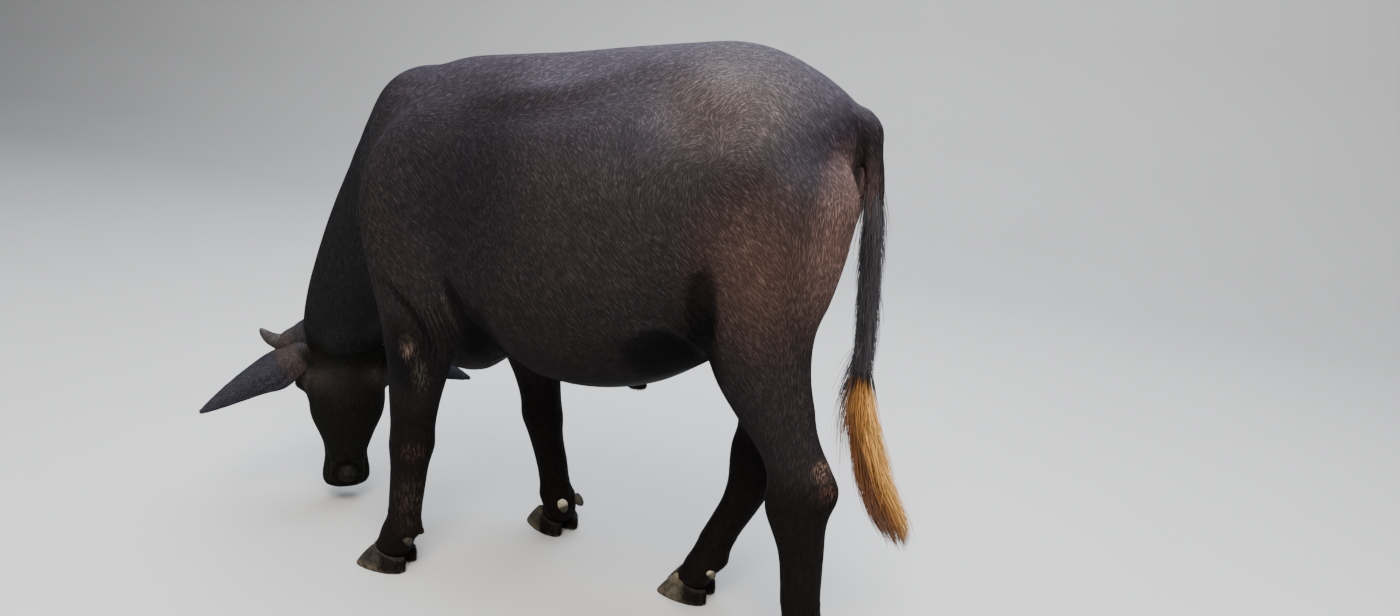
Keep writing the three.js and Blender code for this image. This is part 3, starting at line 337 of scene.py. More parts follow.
# Folds and veins: where across the leaf one starts and ends, its width, height, and the shares of
# the ear's length between which it lies
EAR_LINES = [
    [0.62, 0.86, 0.07, -3.2, 0.2, 0.5], [0.36, 0.5, 0.08, -1.8, 0.24, 0.52],
    [0.1, 0.3, 0.035, 0.9, 0.16, 0.8], [-0.2, 0.02, 0.035, 0.8, 0.2, 0.9],
    [-0.05, 0.62, 0.03, 0.7, 0.3, 0.72], [-0.45, -0.3, 0.035, 0.7, 0.14, 0.66],
]


def ear_frame(side, way):
    """The root of an ear and its directions: along it, across it and out of its hollow."""
    along = unit(side * way[0] * head_left + way[1] * head_front + way[2] * head_down)
    hollow = 0.72 * head_front + 0.62 * head_down
    hollow = unit(hollow - along * (hollow @ along))
    return on_head(EAR_ROOT[0], side * EAR_ROOT[1], EAR_ROOT[2]), along, np.cross(along, hollow), hollow


def ear_shell(side, way):
    """An ear: across it both faces are the same bowl, a parabola, set a thickness apart and hung
    a little below the middle line. Each fold or vein is a bell-shaped bump across a line that
    runs out along the leaf, and it fades at both its ends."""
    root, along, across, hollow = ear_frame(side, way)
    share = np.linspace(0, 1, 120)
    width, cup, thick, lobe = drawn_through(EAR, share).T[:, :, None]
    s = np.linspace(-1, 1, 46)[None, :]
    low = s * np.sign(across @ head_down)
    out = np.zeros((120, 46))
    for start, end, wide, high, first, last in EAR_LINES:
        t = (share[:, None] - first) / (last - first)
        fade = np.sin(np.clip(t, 0, 1) * np.pi) ** 0.7
        out += high * fade * np.exp(-((low - start - (end - start) * t) / wide) ** 2)
    outer = -cup * (1 - s**2) - out
    inner = (thick - cup * (1 - (0.95 * s) ** 2) - out)[:, ::-1]
    wide = np.hstack([s * width, 0.95 * s[:, ::-1] * width])[..., None]
    deep = np.hstack([outer, inner])[..., None]
    centre = root + along * (share * EAR_LENGTH - EAR_SUNK)[:, None] + head_down * lobe
    return closed(centre[:, None] + across * wide + hollow * deep)


ears = [ear_shell(*EAR_WAYS[word]) for word in EAR_WAYS]

# Skin: one hide over trunk, neck, head, legs, dock and ears, with no seam. It is drawn over the
# cores, let in by the depth of the coat, and then gets its lids, nostrils, lips and folds.
eye_low, eye_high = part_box("eye_left")
PLACE = (np.array(eye_low) + np.array(eye_high)) * 500 - on_head(*EYE)
SKIN_GRAIN = 0.004
COAT_DEPTH = 2.2
SKIN_FACES = 100000


def made(name, points, faces):
    """A mesh object from arrays of points, in working millimetres, and of faces."""
    mesh = bpy.data.meshes.new(name)
    points = (np.asarray(points, float) + PLACE) / 1000
    faces = np.asarray(faces, np.int32)
    mesh.vertices.add(len(points))
    mesh.vertices.foreach_set("co", points.ravel())
    mesh.loops.add(faces.size)
    mesh.loops.foreach_set("vertex_index", faces.ravel())
    mesh.polygons.add(len(faces))
    mesh.polygons.foreach_set("loop_start", np.arange(0, faces.size, faces.shape[1]))
    mesh.update(calc_edges=True)
    mesh.polygons.foreach_set("use_smooth", np.full(len(faces), True))
    piece = bpy.data.objects.new(name, mesh)
    bpy.context.scene.collection.objects.link(piece)
    return piece


def spots(piece):
    """A piece's points as an array in working millimetres, and the way each one faces."""
    mesh = piece.data
    points, normals = np.empty(len(mesh.vertices) * 3), np.empty(len(mesh.vertices) * 3)
    mesh.vertices.foreach_get("co", points)
    mesh.vertex_normals.foreach_get("vector", normals)
    return points.reshape(-1, 3) * 1000 - PLACE, normals.reshape(-1, 3)


def move_to(piece, points):
    """The piece's points are put at places in working millimetres."""
    piece.data.vertices.foreach_set("co", ((points + PLACE) / 1000).ravel())
    piece.data.update()


def mark(piece, key, values):
    """A number kept at every point of a piece under a name, for its material to read."""
    values = np.asarray(values, np.float32).ravel()
    piece.data.attributes.new(key, "FLOAT", "POINT").data.foreach_set("value", values)


def map_onto(piece, roots, grid, faces):
    """Gives a piece of hair its OFBake map: each hair's points, read off a small grid, lie at its
    root's place on the map."""
    uv = (roots[:, None] + np.asarray(grid)[None]).reshape(-1, 2)[faces.ravel()]
    piece.data.uv_layers.new(name="OFBake").data.foreach_set("uv", uv.astype(np.float32).ravel())


def gathered(shells):
    """Several shells as one pair of arrays."""
    starts = np.cumsum([0] + [len(points) for points, _ in shells[:-1]])
    return (np.vstack([points for points, _ in shells]),
            np.vstack([faces + start for (_, faces), start in zip(shells, starts)]))


def add_modifier(piece, kind, **settings):
    """A modifier with its settings, put on the piece and worked into its mesh at once."""
    modifier = piece.modifiers.new(kind.lower(), kind)
    for key, value in settings.items():
        setattr(modifier, key, value)
    mesh = bpy.data.meshes.new_from_object(
        piece.evaluated_get(bpy.context.evaluated_depsgraph_get()))
    piece.modifiers.clear()
    piece.data = mesh


def soft_step(low, high, value):
    """Nought below one value and one above the other, with an even bend between."""
    t = np.clip((value - low) / (high - low), 0, 1)
    return t * t * (3 - 2 * t)


def bell(value, reach):
    """A bump of height one that dies away evenly on both sides of nought."""
    return np.exp(-(value / reach) ** 2)


def in_head(points):
    """Places read as distances down the head, to its left and forward of its axis."""
    return (points - POLL) @ head_axes.T


def eased(piece, weight, rounds):
    """Rounds off the creases between muscles: each point moves to the middle of its neighbours
    so many times, by a weight in ten steps."""
    group = piece.vertex_groups.new(name="soft")
    step = np.round(weight * 10).astype(int)
    for level in range(1, 11):
        group.add(np.flatnonzero(step == level).tolist(), level / 10, "REPLACE")
    add_modifier(piece, "SMOOTH", factor=0.5, iterations=rounds, vertex_group="soft")
    piece.vertex_groups.clear()


skin = made("skin", *gathered(flesh))
add_modifier(skin, "REMESH", mode="VOXEL", voxel_size=SKIN_GRAIN, use_smooth_shade=True)
add_modifier(skin, "SMOOTH", factor=0.5, iterations=7)
points, normals = spots(skin)
x, y, z = points.T
down, left, front = in_head(points).T
on_head_part = (z < 500) & (x < -270)
body = soft_step(500, 590, z) * (1 - soft_step(742, 772, x)) * (1 - soft_step(-290, -330, x))
eased(skin, body, 260)
face = soft_step(-60, 20, down) * (1 - soft_step(290, 330, down)) * on_head_part
eased(skin, face, 40)
if len(skin.data.polygons) * 2 > SKIN_FACES:
    add_modifier(skin, "DECIMATE", ratio=SKIN_FACES / len(skin.data.polygons) / 2)
points, normals = spots(skin)
move_to(skin, points - normals * COAT_DEPTH)
listed = made("ears", *gathered(ears))
add_modifier(skin, "BOOLEAN", operation="UNION", solver="EXACT", object=listed)
bpy.data.objects.remove(listed)

# Finer grain at the eyes, nostrils and chin, and where the skin folds: elbows, throat and flanks
mesh = bmesh.new()
mesh.from_mesh(skin.data)
for reach in ([62, 38]):
    verts = list(mesh.verts)
    places = np.array([v.co for v in verts]) * 1000 - PLACE
    near = np.linalg.norm(places - [-318, 20, 420], axis=1) < reach
    for side in (1, -1):
        for spot in ((EYE[0], side * 106, EYE[2]), (384, side * 30, 34), (378, side * 30, -4)):
            near |= np.linalg.norm(places - on_head(*spot), axis=1) < reach
        near |= np.linalg.norm((places - [0, side * 160, 578]) / [0.75, 1, 1.45], axis=1) < reach
        near |= np.linalg.norm(places - [530, side * 185, 680], axis=1) < reach
    chosen = {v for v, close in zip(verts, near) if close}
    edges = [e for e in mesh.edges if e.verts[0] in chosen and e.verts[1] in chosen]
    bmesh.ops.subdivide_edges(mesh, edges=edges, cuts=1, smooth=0)
    bmesh.ops.triangulate(mesh, faces=[f for f in mesh.faces if len(f.verts) > 3])
mesh.to_mesh(skin.data)
mesh.free()

# Lids round an almond opening, let in over the eye
LID_REACH, LID_STEEPNESS = 18, 0.62
points, normals = spots(skin)
for side in (1, -1):
    down, left, front = in_head(points).T
    reach = side * left - EYE[1]
    along, high = (down - EYE[0]) / LID_REACH, (front - EYE[2]) / LID_REACH
    away = np.sqrt(along**2 + high**2)
    almond = np.sqrt(along**2 + (high / (LID_STEEPNESS - 0.25 * along**2).clip(0.2)) ** 2)
    outside = reach > 4
    pit = (1 - soft_step(0.86, 1.05, almond)) * outside
    rim = bell(almond - 1.22, 0.24) * outside
    crease = bell(almond - 1.75, 0.18) * outside * (high > 0)
    wrinkle = np.sin(almond * 9) * bell(almond - 2.3, 0.5) * outside
    ball_out = np.sqrt(np.maximum(EYE_RADIUS**2 - (away * LID_REACH) ** 2, 0))
    wanted = np.where(almond < 1.5, ball_out + 2.6, reach)
    hold = (1 - soft_step(1.3, 2.2, almond)) * outside
    new_reach = reach * (1 - hold) + wanted * hold
    new_reach += rim * 1.3 - crease * 1.5 - pit * 9 + wrinkle * 0.7
    points += (head_left * side) * ((new_reach - reach) * (away < 3.2) * outside)[:, None]

# Nostrils and the line of the mouth
down, left, front = in_head(points).T
nostril = np.sqrt(((down - 385 - (front - 34) * 0.3) / 9) ** 2 + ((np.abs(left) - 27) / 12) ** 2)
at_front = (front > 8) & (down > 355)
points -= head_front * (np.exp(-nostril**2 * 1.2) * 13 * at_front)[:, None]
points += normals * (bell(nostril - 1.45, 0.3) * 2.0 * at_front)[:, None]
mouth = front + 16 + 0.05 * (378 - down)
lips = bell(mouth, 3) * soft_step(285, 330, down) * (down < 404)
points -= normals * (lips * 3.4)[:, None]


# Lines the folds follow: the tendon by its height, the loin and the belly's fold by their length
TENDON = [[557, 45], [585, 40], [615, 27], [657, 14], [700, 0]]
LOIN = [[0, 1008], [26, 1017], [175, 1055], [252, 1071], [313, 1092], [390, 1132]]
BELLY_FOLD = [[425, 650], [440, 657], [489, 674], [528, 649], [545, 630]]
# Hollows: the middle and reach along and up the body, how far out they start, and the depth
HOLLOWS = {
    "behind the elbow": (88, 34, 560, 55, 60, 12), "before the thigh": (556, 20, 715, 70, 80, 9),
    "before the hip": (384, 26, 1000, 62, 0, 6), "root of the tail": (835, 32, 1022, 46, 0, 8),
}


def folds(points):
    """How far the loose skin stands out or in, in millimetres: the round chin and the creases
    behind it, arcs under the throat, a fan of lines and a tendon at the elbow with a pocket behind
    it, the fold in front of the thigh, the edge of the loin, the hollow before the hip and the
    fold along the belly. Each is a wave or a bell across a line, faded out around a middle."""
    down, left, front = in_head(points).T
    chin = np.hypot(down - CHIN[0] - 2, left * 0.95)
    behind = soft_step(-22, -36, front) * soft_step(285, 305, down) * (points[:, 2] < 300)
    push = (bell(chin, 15) * 8 - bell(chin - 27, 6) * 6.5) * behind
    push += np.sin((down + np.abs(left) * 0.25) / 1.9) * bell(down - 311, 13) * 1.6 * behind
    x, y, z = points.T
    outer = np.abs(y) > 80
    ring = np.hypot(x + 262, z - 522)
    throat = bell(x + 315, 60) * bell(z - 425, 45) * bell(ring - 110, 45) * (x < -200)
    push += np.sin(ring / 1.4) * 2.2 * throat
    fan = np.hypot(x + 334, z - 517) + 3 * np.sin(z / 31)
    push += np.sin(fan / 1.45) * 2.2 * bell(x - 2, 40) * bell(z - 575, 88) * outer
    crease = np.hypot(x + 200, z - 480) - 205
    push -= bell(crease, 8) * 5 * bell(x + 40, 75) * bell(z - 600, 75) * outer
    tendon = drawn_through(TENDON, z)[:, 0]
    push += (bell(x - tendon, 8) * 6 - bell(x - tendon - 24, 17) * 9) * bell(z - 612, 54) * outer
    push += np.sin((x + (z - 690) * 0.5) / 2.6) * 1.2 * bell(x - 552, 40) * bell(z - 700, 60) * outer
    loin = z - drawn_through(LOIN, x)[:, 0]
    push += (bell(loin, 14) * 4.5 - bell(loin + 40, 26) * 4.5) * bell(x - 230, 170)
    seam = z - drawn_through(BELLY_FOLD, x)[:, 0]
    rim = bell(seam - 7, 7) * 3.5 - soft_step(6, -10, seam) * bell(seam + 26, 30) * 11
    push += rim * bell(x - 488, 52) * outer
    for middle, reach, height, rise, out, depth in HOLLOWS.values():
        push -= bell(x - middle, reach) * bell(z - height, rise) * depth * (np.abs(y) >= out)
    return push + np.sin((x * 0.9 + z * 0.25) / 6.0) * 0.7 * bell(x + 250, 60) * bell(z - 800, 170)


points += normals * folds(points)[:, None]
move_to(skin, points)
add_modifier(skin, "TRIANGULATE")

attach(skin, "root")
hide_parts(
    "torso", "neck", "head", "ear_left", "ear_right", "tail_dock",
    *[f"{name}_{length}" for name in LEGS for length in ("upper", "lower")])

# Hide and hair colour: black-brown, near black on the neck, red-brown where the thigh has bleached,
# slate on the ears, tan at the ear's root, with dust on the forearms, knees and hocks. With it goes painted
# light: a slate sheen on the back, painted highlights on the back and hip, painted sheen on the throat,
# cheek and poll, and painted shade, near black, underneath, between the legs and jaws and in the folds and
# hollows. Skin and coat carry the same markings and the same run of hair.
HIP_WHORL = [542, 977]
# Grain of the fine lines along, through and across them, in lines to the metre
LINE_GRAIN = (60, 300, 640)
# Each marking: its middle, its reach, how soft its edge is, its colour and how strong it is. Some are
# painted light: highlights on the back and the hip, and shade under the body and in its hollows.
MARKINGS = [
    [(60, -90, 870), (260, 300, 290), 0.0, (0.0042, 0.0038, 0.0048), 0.95],
    # Painted highlights: a pale slate streak on the back and a tan-brown patch on the hip
    [(200, -120, 1090), (150, 90, 60), 0.0, (0.021, 0.019, 0.0235), 0.6],
    [(560, -130, 1070), (190, 260, 130), 0.1, (0.035, 0.0275, 0.026), 0.95],
    [(730, -90, 1010), (130, 220, 130), 0.2, (0.0075, 0.006, 0.0085), 0.9],
    [(655, -190, 800), (170, 280, 215), 0.0, (0.037, 0.021, 0.0165), 0.95],
    [(770, -90, 850), (80, 160, 230), 0.1, (0.096, 0.057, 0.047), 0.9],
    # Painted shade, near black: under the belly and chest, between and behind the forelegs, under the
    # belly's fold, in the flank before the thigh, and, dark brown, in the hollow before the hip
    [(330, -60, 480), (330, 280, 200), 0.1, (0.0012, 0.001, 0.001), 0.9],
    [(520, -120, 640), (110, 150, 130), 0.2, (0.0011, 0.0009, 0.0009), 0.8],
    [(60, -60, 560), (90, 140, 110), 0.3, (0.001, 0.0009, 0.001), 0.9],
    [(-50, -140, 500), (110, 140, 140), 0.3, (0.0008, 0.0008, 0.0008), 0.85],
    [(92, -100, 545), (62, 90, 82), 0.3, (0.0004, 0.0004, 0.0004), 0.95],
    [(500, -120, 598), (130, 150, 72), 0.5, (0.0006, 0.0005, 0.0005), 0.95],
    [(566, -150, 690), (34, 90, 62), 0.0, (0.0008, 0.0009, 0.0014), 0.9],
    [(384, -140, 985), (52, 160, 90), 0.0, (0.0038, 0.0030, 0.0032), 0.55],
]
# Markings of the head on both its sides: the throat, lighter as a painted sheen; between the jaws, dark
# as painted shade; the cheek, warm brown with a painted sheen; the muzzle; and the horn's foot, a pale
# slate that is painted light from the sky
FACE = [
    [(12, 0, -106), 80, 0.1, (0.0120, 0.0115, 0.0115), 0.7],
    [(105, 0, -92), 44, 0.2, (0.0010, 0.0010, 0.0008), 0.65],
    [(106, 66, -62), 46, 0.0, (0.0120, 0.0090, 0.0078), 0.85],
    [(362, 0, -26), 66, 0.3, (0.0085, 0.0080, 0.0064), 0.6],
    [(22, 96, 20), 60, 0.7, (0.0200, 0.0185, 0.0200), 0.85],
]
# Spots where the hair is worn or dusty: middle, reach, colour and strength
WORN = [
    [(-48, -176, 528), (27, 60, 40), (0.062, 0.044, 0.034), 0.8],
    [(-24, -172, 470), (24, 60, 60), (0.032, 0.027, 0.021), 0.6],
    [(-45, -162, 292), (34, 60, 34), (0.026, 0.0145, 0.0105), 0.75],
    [(-55, -151, 172), (60, 80, 95), (0.020, 0.0135, 0.0105), 0.8],
    [(805, -140, 444), (30, 50, 36), (0.105, 0.065, 0.043), 0.75],
    [(815, -135, 400), (30, 50, 30), (0.055, 0.027, 0.018), 0.5],
]


def lie_of_the_coat(points, normals):
    """The way the hair runs at each place, flat on the skin: back and up above a line along the
    shoulder, back and down under it, out from the hip whorl, and down neck, legs and face."""
    x, _, z = points.T
    line = 969 + (x + 69) * 0.13
    slant = -1.0 + 1.9 * soft_step(-45, 60, z - line) * (1 - soft_step(560, 700, x))
    way = rows_of(1, 0, slant)
    off_x, off_z = x - HIP_WHORL[0], z - HIP_WHORL[1]
    far = np.hypot(off_x, off_z) + 1e-6
    whorl = bell(far, 95)[:, None]
    turn = rows_of(off_x / far - off_z / far * 0.7, 0, off_z / far + off_x / far * 0.7 - 0.35)
    way = way * (1 - whorl) + turn * whorl * 1.1
    turns = {
        "before the hip": (bell(x - 440, 95) * bell(z - 985, 80) * 0.7, [-0.7, 0, -0.9]),
        "haunch": (soft_step(640, 760, x) * (1 - soft_step(960, 1060, z)), [0, 0, -1]),
        "elbow": (bell(x - 30, 80) * bell(z - 620, 90), [0.4, 0, -1]),
        "legs": (1 - soft_step(500, 600, z), [0.12, 0, -1]),
        "neck": (1 - soft_step(-230, -150, x), [0.25, 0, -1]),
        "face": (soft_step(20, 60, in_head(points)[:, 0]) * (x < -250) * (z < 470), head_down),
        **{f"ear {side}": (ear_share(points, side, out), ear_frame(side, out)[1])
           for side, out in EAR_WAYS.values()},
    }
    for amount, run in turns.values():
        way = way * (1 - amount[:, None]) + np.array(run) * amount[:, None]
    way -= normals * np.einsum("ij,ij->i", way, normals)[:, None]
    return way / (np.linalg.norm(way, axis=1)[:, None] + 1e-9)


def ear_share(points, side, way):
    """How far out along an ear a place is: nought on the head, and one from its middle on."""
    root, along, across, hollow = ear_frame(side, way)
    off = points - root
    near = (np.abs(off @ across) < 64) & (np.abs(off @ hollow) < 50)
    return soft_step(6, 130, off @ along) * near


def on_an_ear(points):
    """How far out along either ear a place is."""
    return np.maximum(*[ear_share(points, *way) for way in EAR_WAYS.values()])


def give_marks(piece, places, facing, repeat=1):
    """Keeps on a piece how upright the hair's line is there, nought and one being level, how far
    out on an ear the place is, how much it faces up on the back, where a slate sheen is painted,
    and how deep it lies in a fold, where shade is painted."""
    lie, height = lie_of_the_coat(places, facing), places[:, 2]
    for key, values in {
        "upright": np.mod(np.arctan2(lie[:, 2], lie[:, 0]) / np.pi, 1),
        "leaf": on_an_ear(places),
        # Where a painted slate sheen goes: faces of the back that look up
        "top": soft_step(0.15, 0.85, facing[:, 2]) * soft_step(880, 1010, height),
        # Where painted shade goes: the depth of the folds and hollows
        "hollow": np.clip(-folds(places) / 3, 0, 1) * soft_step(860, 800, height),
    }.items():
        mark(piece, key, np.repeat(values, repeat))


def node(kind, inputs=(), **settings):
    """A node with its settings in the tree of the material that is being made, its sockets filled
    with values or joined to other sockets."""
    made_node = tree.nodes.new(kind)
    for key, value in settings.items():
        setattr(made_node, key, value)
    for key, value in dict(inputs).items():
        if isinstance(value, bpy.types.NodeSocket):
            tree.links.new(value, made_node.inputs[key])
        else:
            made_node.inputs[key].default_value = value
    return made_node


def math(operation, a, b=0.0):
    """The result of one step of arithmetic."""
    return node("ShaderNodeMath", {0: a, 1: b}, operation=operation).outputs[0]


def spread(value, low, high, start=0.0, end=1.0):
    """A value drawn out, with soft ends, from one span to another."""
    return node("ShaderNodeMapRange", {
        "Value": value, "From Min": low, "From Max": high, "To Min": start, "To Max": end,
    }, interpolation_type="SMOOTHSTEP").outputs["Result"]


def colour_mix(amount, below, above):
    """One colour laid over another by an amount, through the colour sockets of a mix."""
    below, above = (value if isinstance(value, bpy.types.NodeSocket) else (*value[:3], 1)
                    for value in (below, above))
    return node("ShaderNodeMix", {0: amount, 6: below, 7: above}, data_type="RGBA").outputs[2]


def lighter(colour, times):
    """A colour made so many times brighter."""
    return node("ShaderNodeVectorMath", {0: colour, "Scale": times}, operation="SCALE").outputs[0]


def kept(key):
    """A number that a piece keeps at its points."""
    return node("ShaderNodeAttribute", attribute_name=key).outputs["Fac"]


def rough(place, scale, detail=3.0):
    """Cloudy noise at a place."""
    return node("ShaderNodeTexNoise", {"Vector": place, "Scale": scale, "Detail": detail}).outputs[0]


def patch(place, centre, reach, edge=0.5):
    """A soft round patch: one at its centre, nought past its reach."""
    centre = tuple((np.array(centre, float) + PLACE * [1, 0, 1]) / 1000)
    away = node("ShaderNodeVectorMath", {0: place, 1: centre}, operation="SUBTRACT").outputs[0]
    away = node("ShaderNodeVectorMath", {0: away, 1: tuple(1000 / np.array(reach, float))},
                operation="MULTIPLY").outputs[0]
    size = node("ShaderNodeVectorMath", {0: away}, operation="LENGTH").outputs["Value"]
    return spread(size, 1.0, edge, 0.0, 1.0)


def combed(place, degrees):
    """Noise drawn out into fine lines that run at an angle to the level in the flank."""
    turned = node("ShaderNodeMapping", {
        "Vector": place, "Rotation": (0, np.radians(degrees), 0)}).outputs[0]
    long = node("ShaderNodeVectorMath", {0: turned, 1: LINE_GRAIN}, operation="MULTIPLY").outputs[0]
    return rough(long, 1.0, 2.0)


def hide_colour():
    """The colour of the coat at a place: the markings, painted light among them, laid one over another,
    mirrored to both sides, then the hair's lines, the ears, the worn spots and painted shade in the folds."""
    place = node("ShaderNodeTexCoord").outputs["Object"]
    axes = node("ShaderNodeSeparateXYZ", {0: place}).outputs
    aside = math("ABSOLUTE", math("SUBTRACT", axes["Y"], PLACE[1] / 1000))
    flank = node("ShaderNodeCombineXYZ", {
        0: axes["X"], 1: math("MULTIPLY", aside, -1.0), 2: axes["Z"]}).outputs[0]
    broad, fine = rough(place, 5.0), rough(place, 60.0, 4.0)
    colour = colour_mix(spread(broad, 0.35, 0.7), (0.0100, 0.0078, 0.0082),
                        (0.0122, 0.0094, 0.0095))
    # Painted sheen: a paler slate over the faces of the back that look up
    back = math("MULTIPLY", kept("top"), 0.85)
    colour = colour_mix(back, colour, (0.0138, 0.0118, 0.0162))
    for centre, reach, edge, tint, strength in MARKINGS:
        amount = math("MULTIPLY", patch(flank, centre, reach, edge), strength)
        colour = colour_mix(amount, colour, tint)
    neck = spread(axes["X"], -0.31, -0.40)
    colour = colour_mix(neck, colour, (0.0064, 0.0062, 0.0068))
    head = spread(axes["Z"], 0.46, 0.40)
    head = math("MULTIPLY", spread(axes["X"], -0.40, -0.46), head)
    colour = colour_mix(head, colour, (0.0034, 0.0034, 0.0022))
    lower = math("MULTIPLY", spread(axes["Z"], 0.46, 0.36), spread(axes["X"], -0.4, -0.3))
    colour = colour_mix(lower, colour, (0.0034, 0.0022, 0.0019))
    for (down, left, front), reach, edge, tint, strength in FACE:
        for side in (1, -1):
            centre = on_head(down, side * left, front) + PLACE * [0, 1, 0]
            amount = math("MULTIPLY", patch(place, centre, [reach] * 3, edge), strength)
            colour = colour_mix(amount, colour, tint)
    upright = kept("upright")
    lines = node("ShaderNodeMix", {
        0: spread(upright, 0.3, 0.45), 2: combed(place, 45), 3: combed(place, 90),
    }).outputs[0]
    lines = node("ShaderNodeMix", {
        0: spread(upright, 0.56, 0.7), 2: lines, 3: combed(place, 135)}).outputs[0]
    leaf = kept("leaf")
    tan = colour_mix(fine, (0.031, 0.0225, 0.0205), (0.012, 0.0090, 0.0082))
    colour = colour_mix(spread(leaf, 0.0, 0.08), colour, tan)
    slate = colour_mix(spread(fine, 0.3, 0.7), (0.0145, 0.0137, 0.0175), (0.0118, 0.0110, 0.0141))
    colour = colour_mix(spread(leaf, 0.28, 0.7), colour, slate)
    for centre, reach, tint, strength in WORN:
        grainy = math("MULTIPLY", spread(lines, 0.40, 0.62), strength)
        amount = math("MULTIPLY", patch(flank, centre, reach, 0.1), grainy)
        colour = colour_mix(amount, colour, tint)
    # Painted shade: the coat darkens in the folds and hollows, the more the deeper they lie
    colour = lighter(colour, spread(kept("hollow"), 0.0, 1.0, 1.0, 0.3))
    return colour, place, lines


def finish(name):
    """An empty material with its shader, which is returned with its tree."""
    material = bpy.data.materials.new(name)
    material.use_nodes = True
    return material, material.node_tree, material.node_tree.nodes["Principled BSDF"]


def laid_on(colour, roughness, gloss=0.5):
    """Gives the shader of the material that is being made its colour, roughness and gloss."""
    tree.links.new(colour, shader.inputs["Base Color"])
    shader.inputs["Roughness"].default_value = roughness
    shader.inputs["Specular IOR Level"].default_value = gloss


def bumped(height, strength, distance):
    """A relief on the shader of the material that is being made, worked out from a height."""
    bump = node("ShaderNodeBump", {"Height": height, "Strength": strength, "Distance": distance})
    tree.links.new(bump.outputs[0], shader.inputs["Normal"])


give_marks(skin, *spots(skin))
hide, tree, shader = finish("hide")
colour, place, lines = hide_colour()
colour = lighter(colour, spread(lines, 0.5, 0.64, 0.8, 1.9))
laid_on(colour, 0.68, 0.06)
pores = rough(place, 420.0, 4.0)
bumped(math("ADD", lines, math("MULTIPLY", pores, 0.35)), 0.3, 0.0005)
skin.data.materials.clear()
skin.data.materials.append(hide)

# Coat: short hair that lies flat and runs back and down, parted by a whorl at each hip and by a
# line along the shoulder. Each tuft is a thin spike rooted in the skin, and about one in four is
# bleached pale, which draws the fine strokes of a buffalo's coat.
COAT_COUNT = 290000
PALE_SHARE, TUFT_SUNK, FLYAWAY = 0.28, 0.3, 0.09
# Length, width and lift of a tuft on the head, on the legs and on the trunk; the neck's are shorter
HEAD_TUFT, LEG_TUFT, TUFT, NECK_LENGTH = (6.5, 0.65, 0.25), (8.5, 0.75, 0.3), (12, 0.8, 0.3), 9
# How much of the map is used, and how wide one hair's patch of it is
MAP_SHARE, MAP_PATCH = 0.99, 0.003


def strewn(piece, count, random):
    """Places spread over a piece by its area: a triangle drawn by its share of the whole, and
    a point drawn evenly in it. Returned with the way the skin faces there."""
    mesh = piece.data
    corners = np.empty(len(mesh.polygons) * 3, np.int32)
    mesh.polygons.foreach_get("vertices", corners)
    corners = corners.reshape(-1, 3)
    points, normals = spots(piece)
    a, b, c = points[corners].transpose(1, 0, 2)
    area = np.linalg.norm(np.cross(b - a, c - a), axis=1)
    pick = np.searchsorted(np.cumsum(area) / area.sum(), random.random(count))
    u, v = random.random((2, count))
    over = u + v > 1
    u[over], v[over] = 1 - u[over], 1 - v[over]
    weights = np.stack([1 - u - v, u, v], -1)[:, :, None]
    facing = (normals[corners[pick]] * weights).sum(1)
    return (points[corners[pick]] * weights).sum(1), unit(facing)


def tufts(name, roots, facing, ways, length, width, lift, tone, unwrap):
    """Thin spikes on the skin: three points round each root, sunk in a little, and a tip that
    lies along the coat at a small height. They take the light as the skin below them does, and
    each spike's patch of the map is at its root."""
    aside = np.cross(ways, facing)
    base = roots - facing * TUFT_SUNK
    half = (width / 2)[:, None]
    points = np.stack([
        base + aside * half, base - aside * half, base + facing * (0.4 + width[:, None] * 0.1),
        roots + ways * length[:, None] + facing * lift[:, None]], 1)
    faces = np.array([[0, 3, 2], [2, 3, 1], [1, 3, 0], [0, 2, 1]])
    faces = (faces[None] + (np.arange(len(roots)) * 4)[:, None, None]).reshape(-1, 3)
    piece = made(name, points.reshape(-1, 3), faces)
    map_onto(piece, unwrap(roots), np.array([[0, 0], [1, 0], [0.5, 1 / 3], [0.5, 1]]) * MAP_PATCH, faces)
    mark(piece, "tone", np.repeat(tone, 4))
    give_marks(piece, roots, facing, 4)
    sway = np.stack([aside, -aside, facing * 0, facing * 0], 1) * 0.2
    piece.data.normals_split_custom_set_from_vertices(unit((facing[:, None] + sway).reshape(-1, 3)))
    return piece


def round_the_trunk(roots):
    """Unwrap of the trunk: its length across the map, and the turn about its middle line up it."""
    x, y, z = roots.T
    return np.stack([(x + 480) / 1320, np.arctan2(y, z - 790) / (2 * np.pi) + 0.5], -1) * MAP_SHARE


def round_the_head(roots):
    """Unwrap of the head and ears: the distance out to a side and the turn about its axis."""
    down, left, front = in_head(roots).T
    turn = np.arctan2(front + 20, down - 150) / (2 * np.pi) + 0.5
    return np.stack([(left + 400) / 800, turn], -1) * MAP_SHARE


def round_the_leg(name):
    """Unwrap of one leg: the turn about its path across the map and the height up it."""
    def unwrap(roots):
        """A hair's place on the map, from where it is rooted on this leg."""
        x, y, z = roots.T
        path = drawn_through(LEGS[name][2], z)
        turn = np.arctan2(y - path[:, 1], x - path[:, 0]) / (2 * np.pi) + 0.5
        return np.stack([turn, z / 700], -1) * MAP_SHARE
    return unwrap


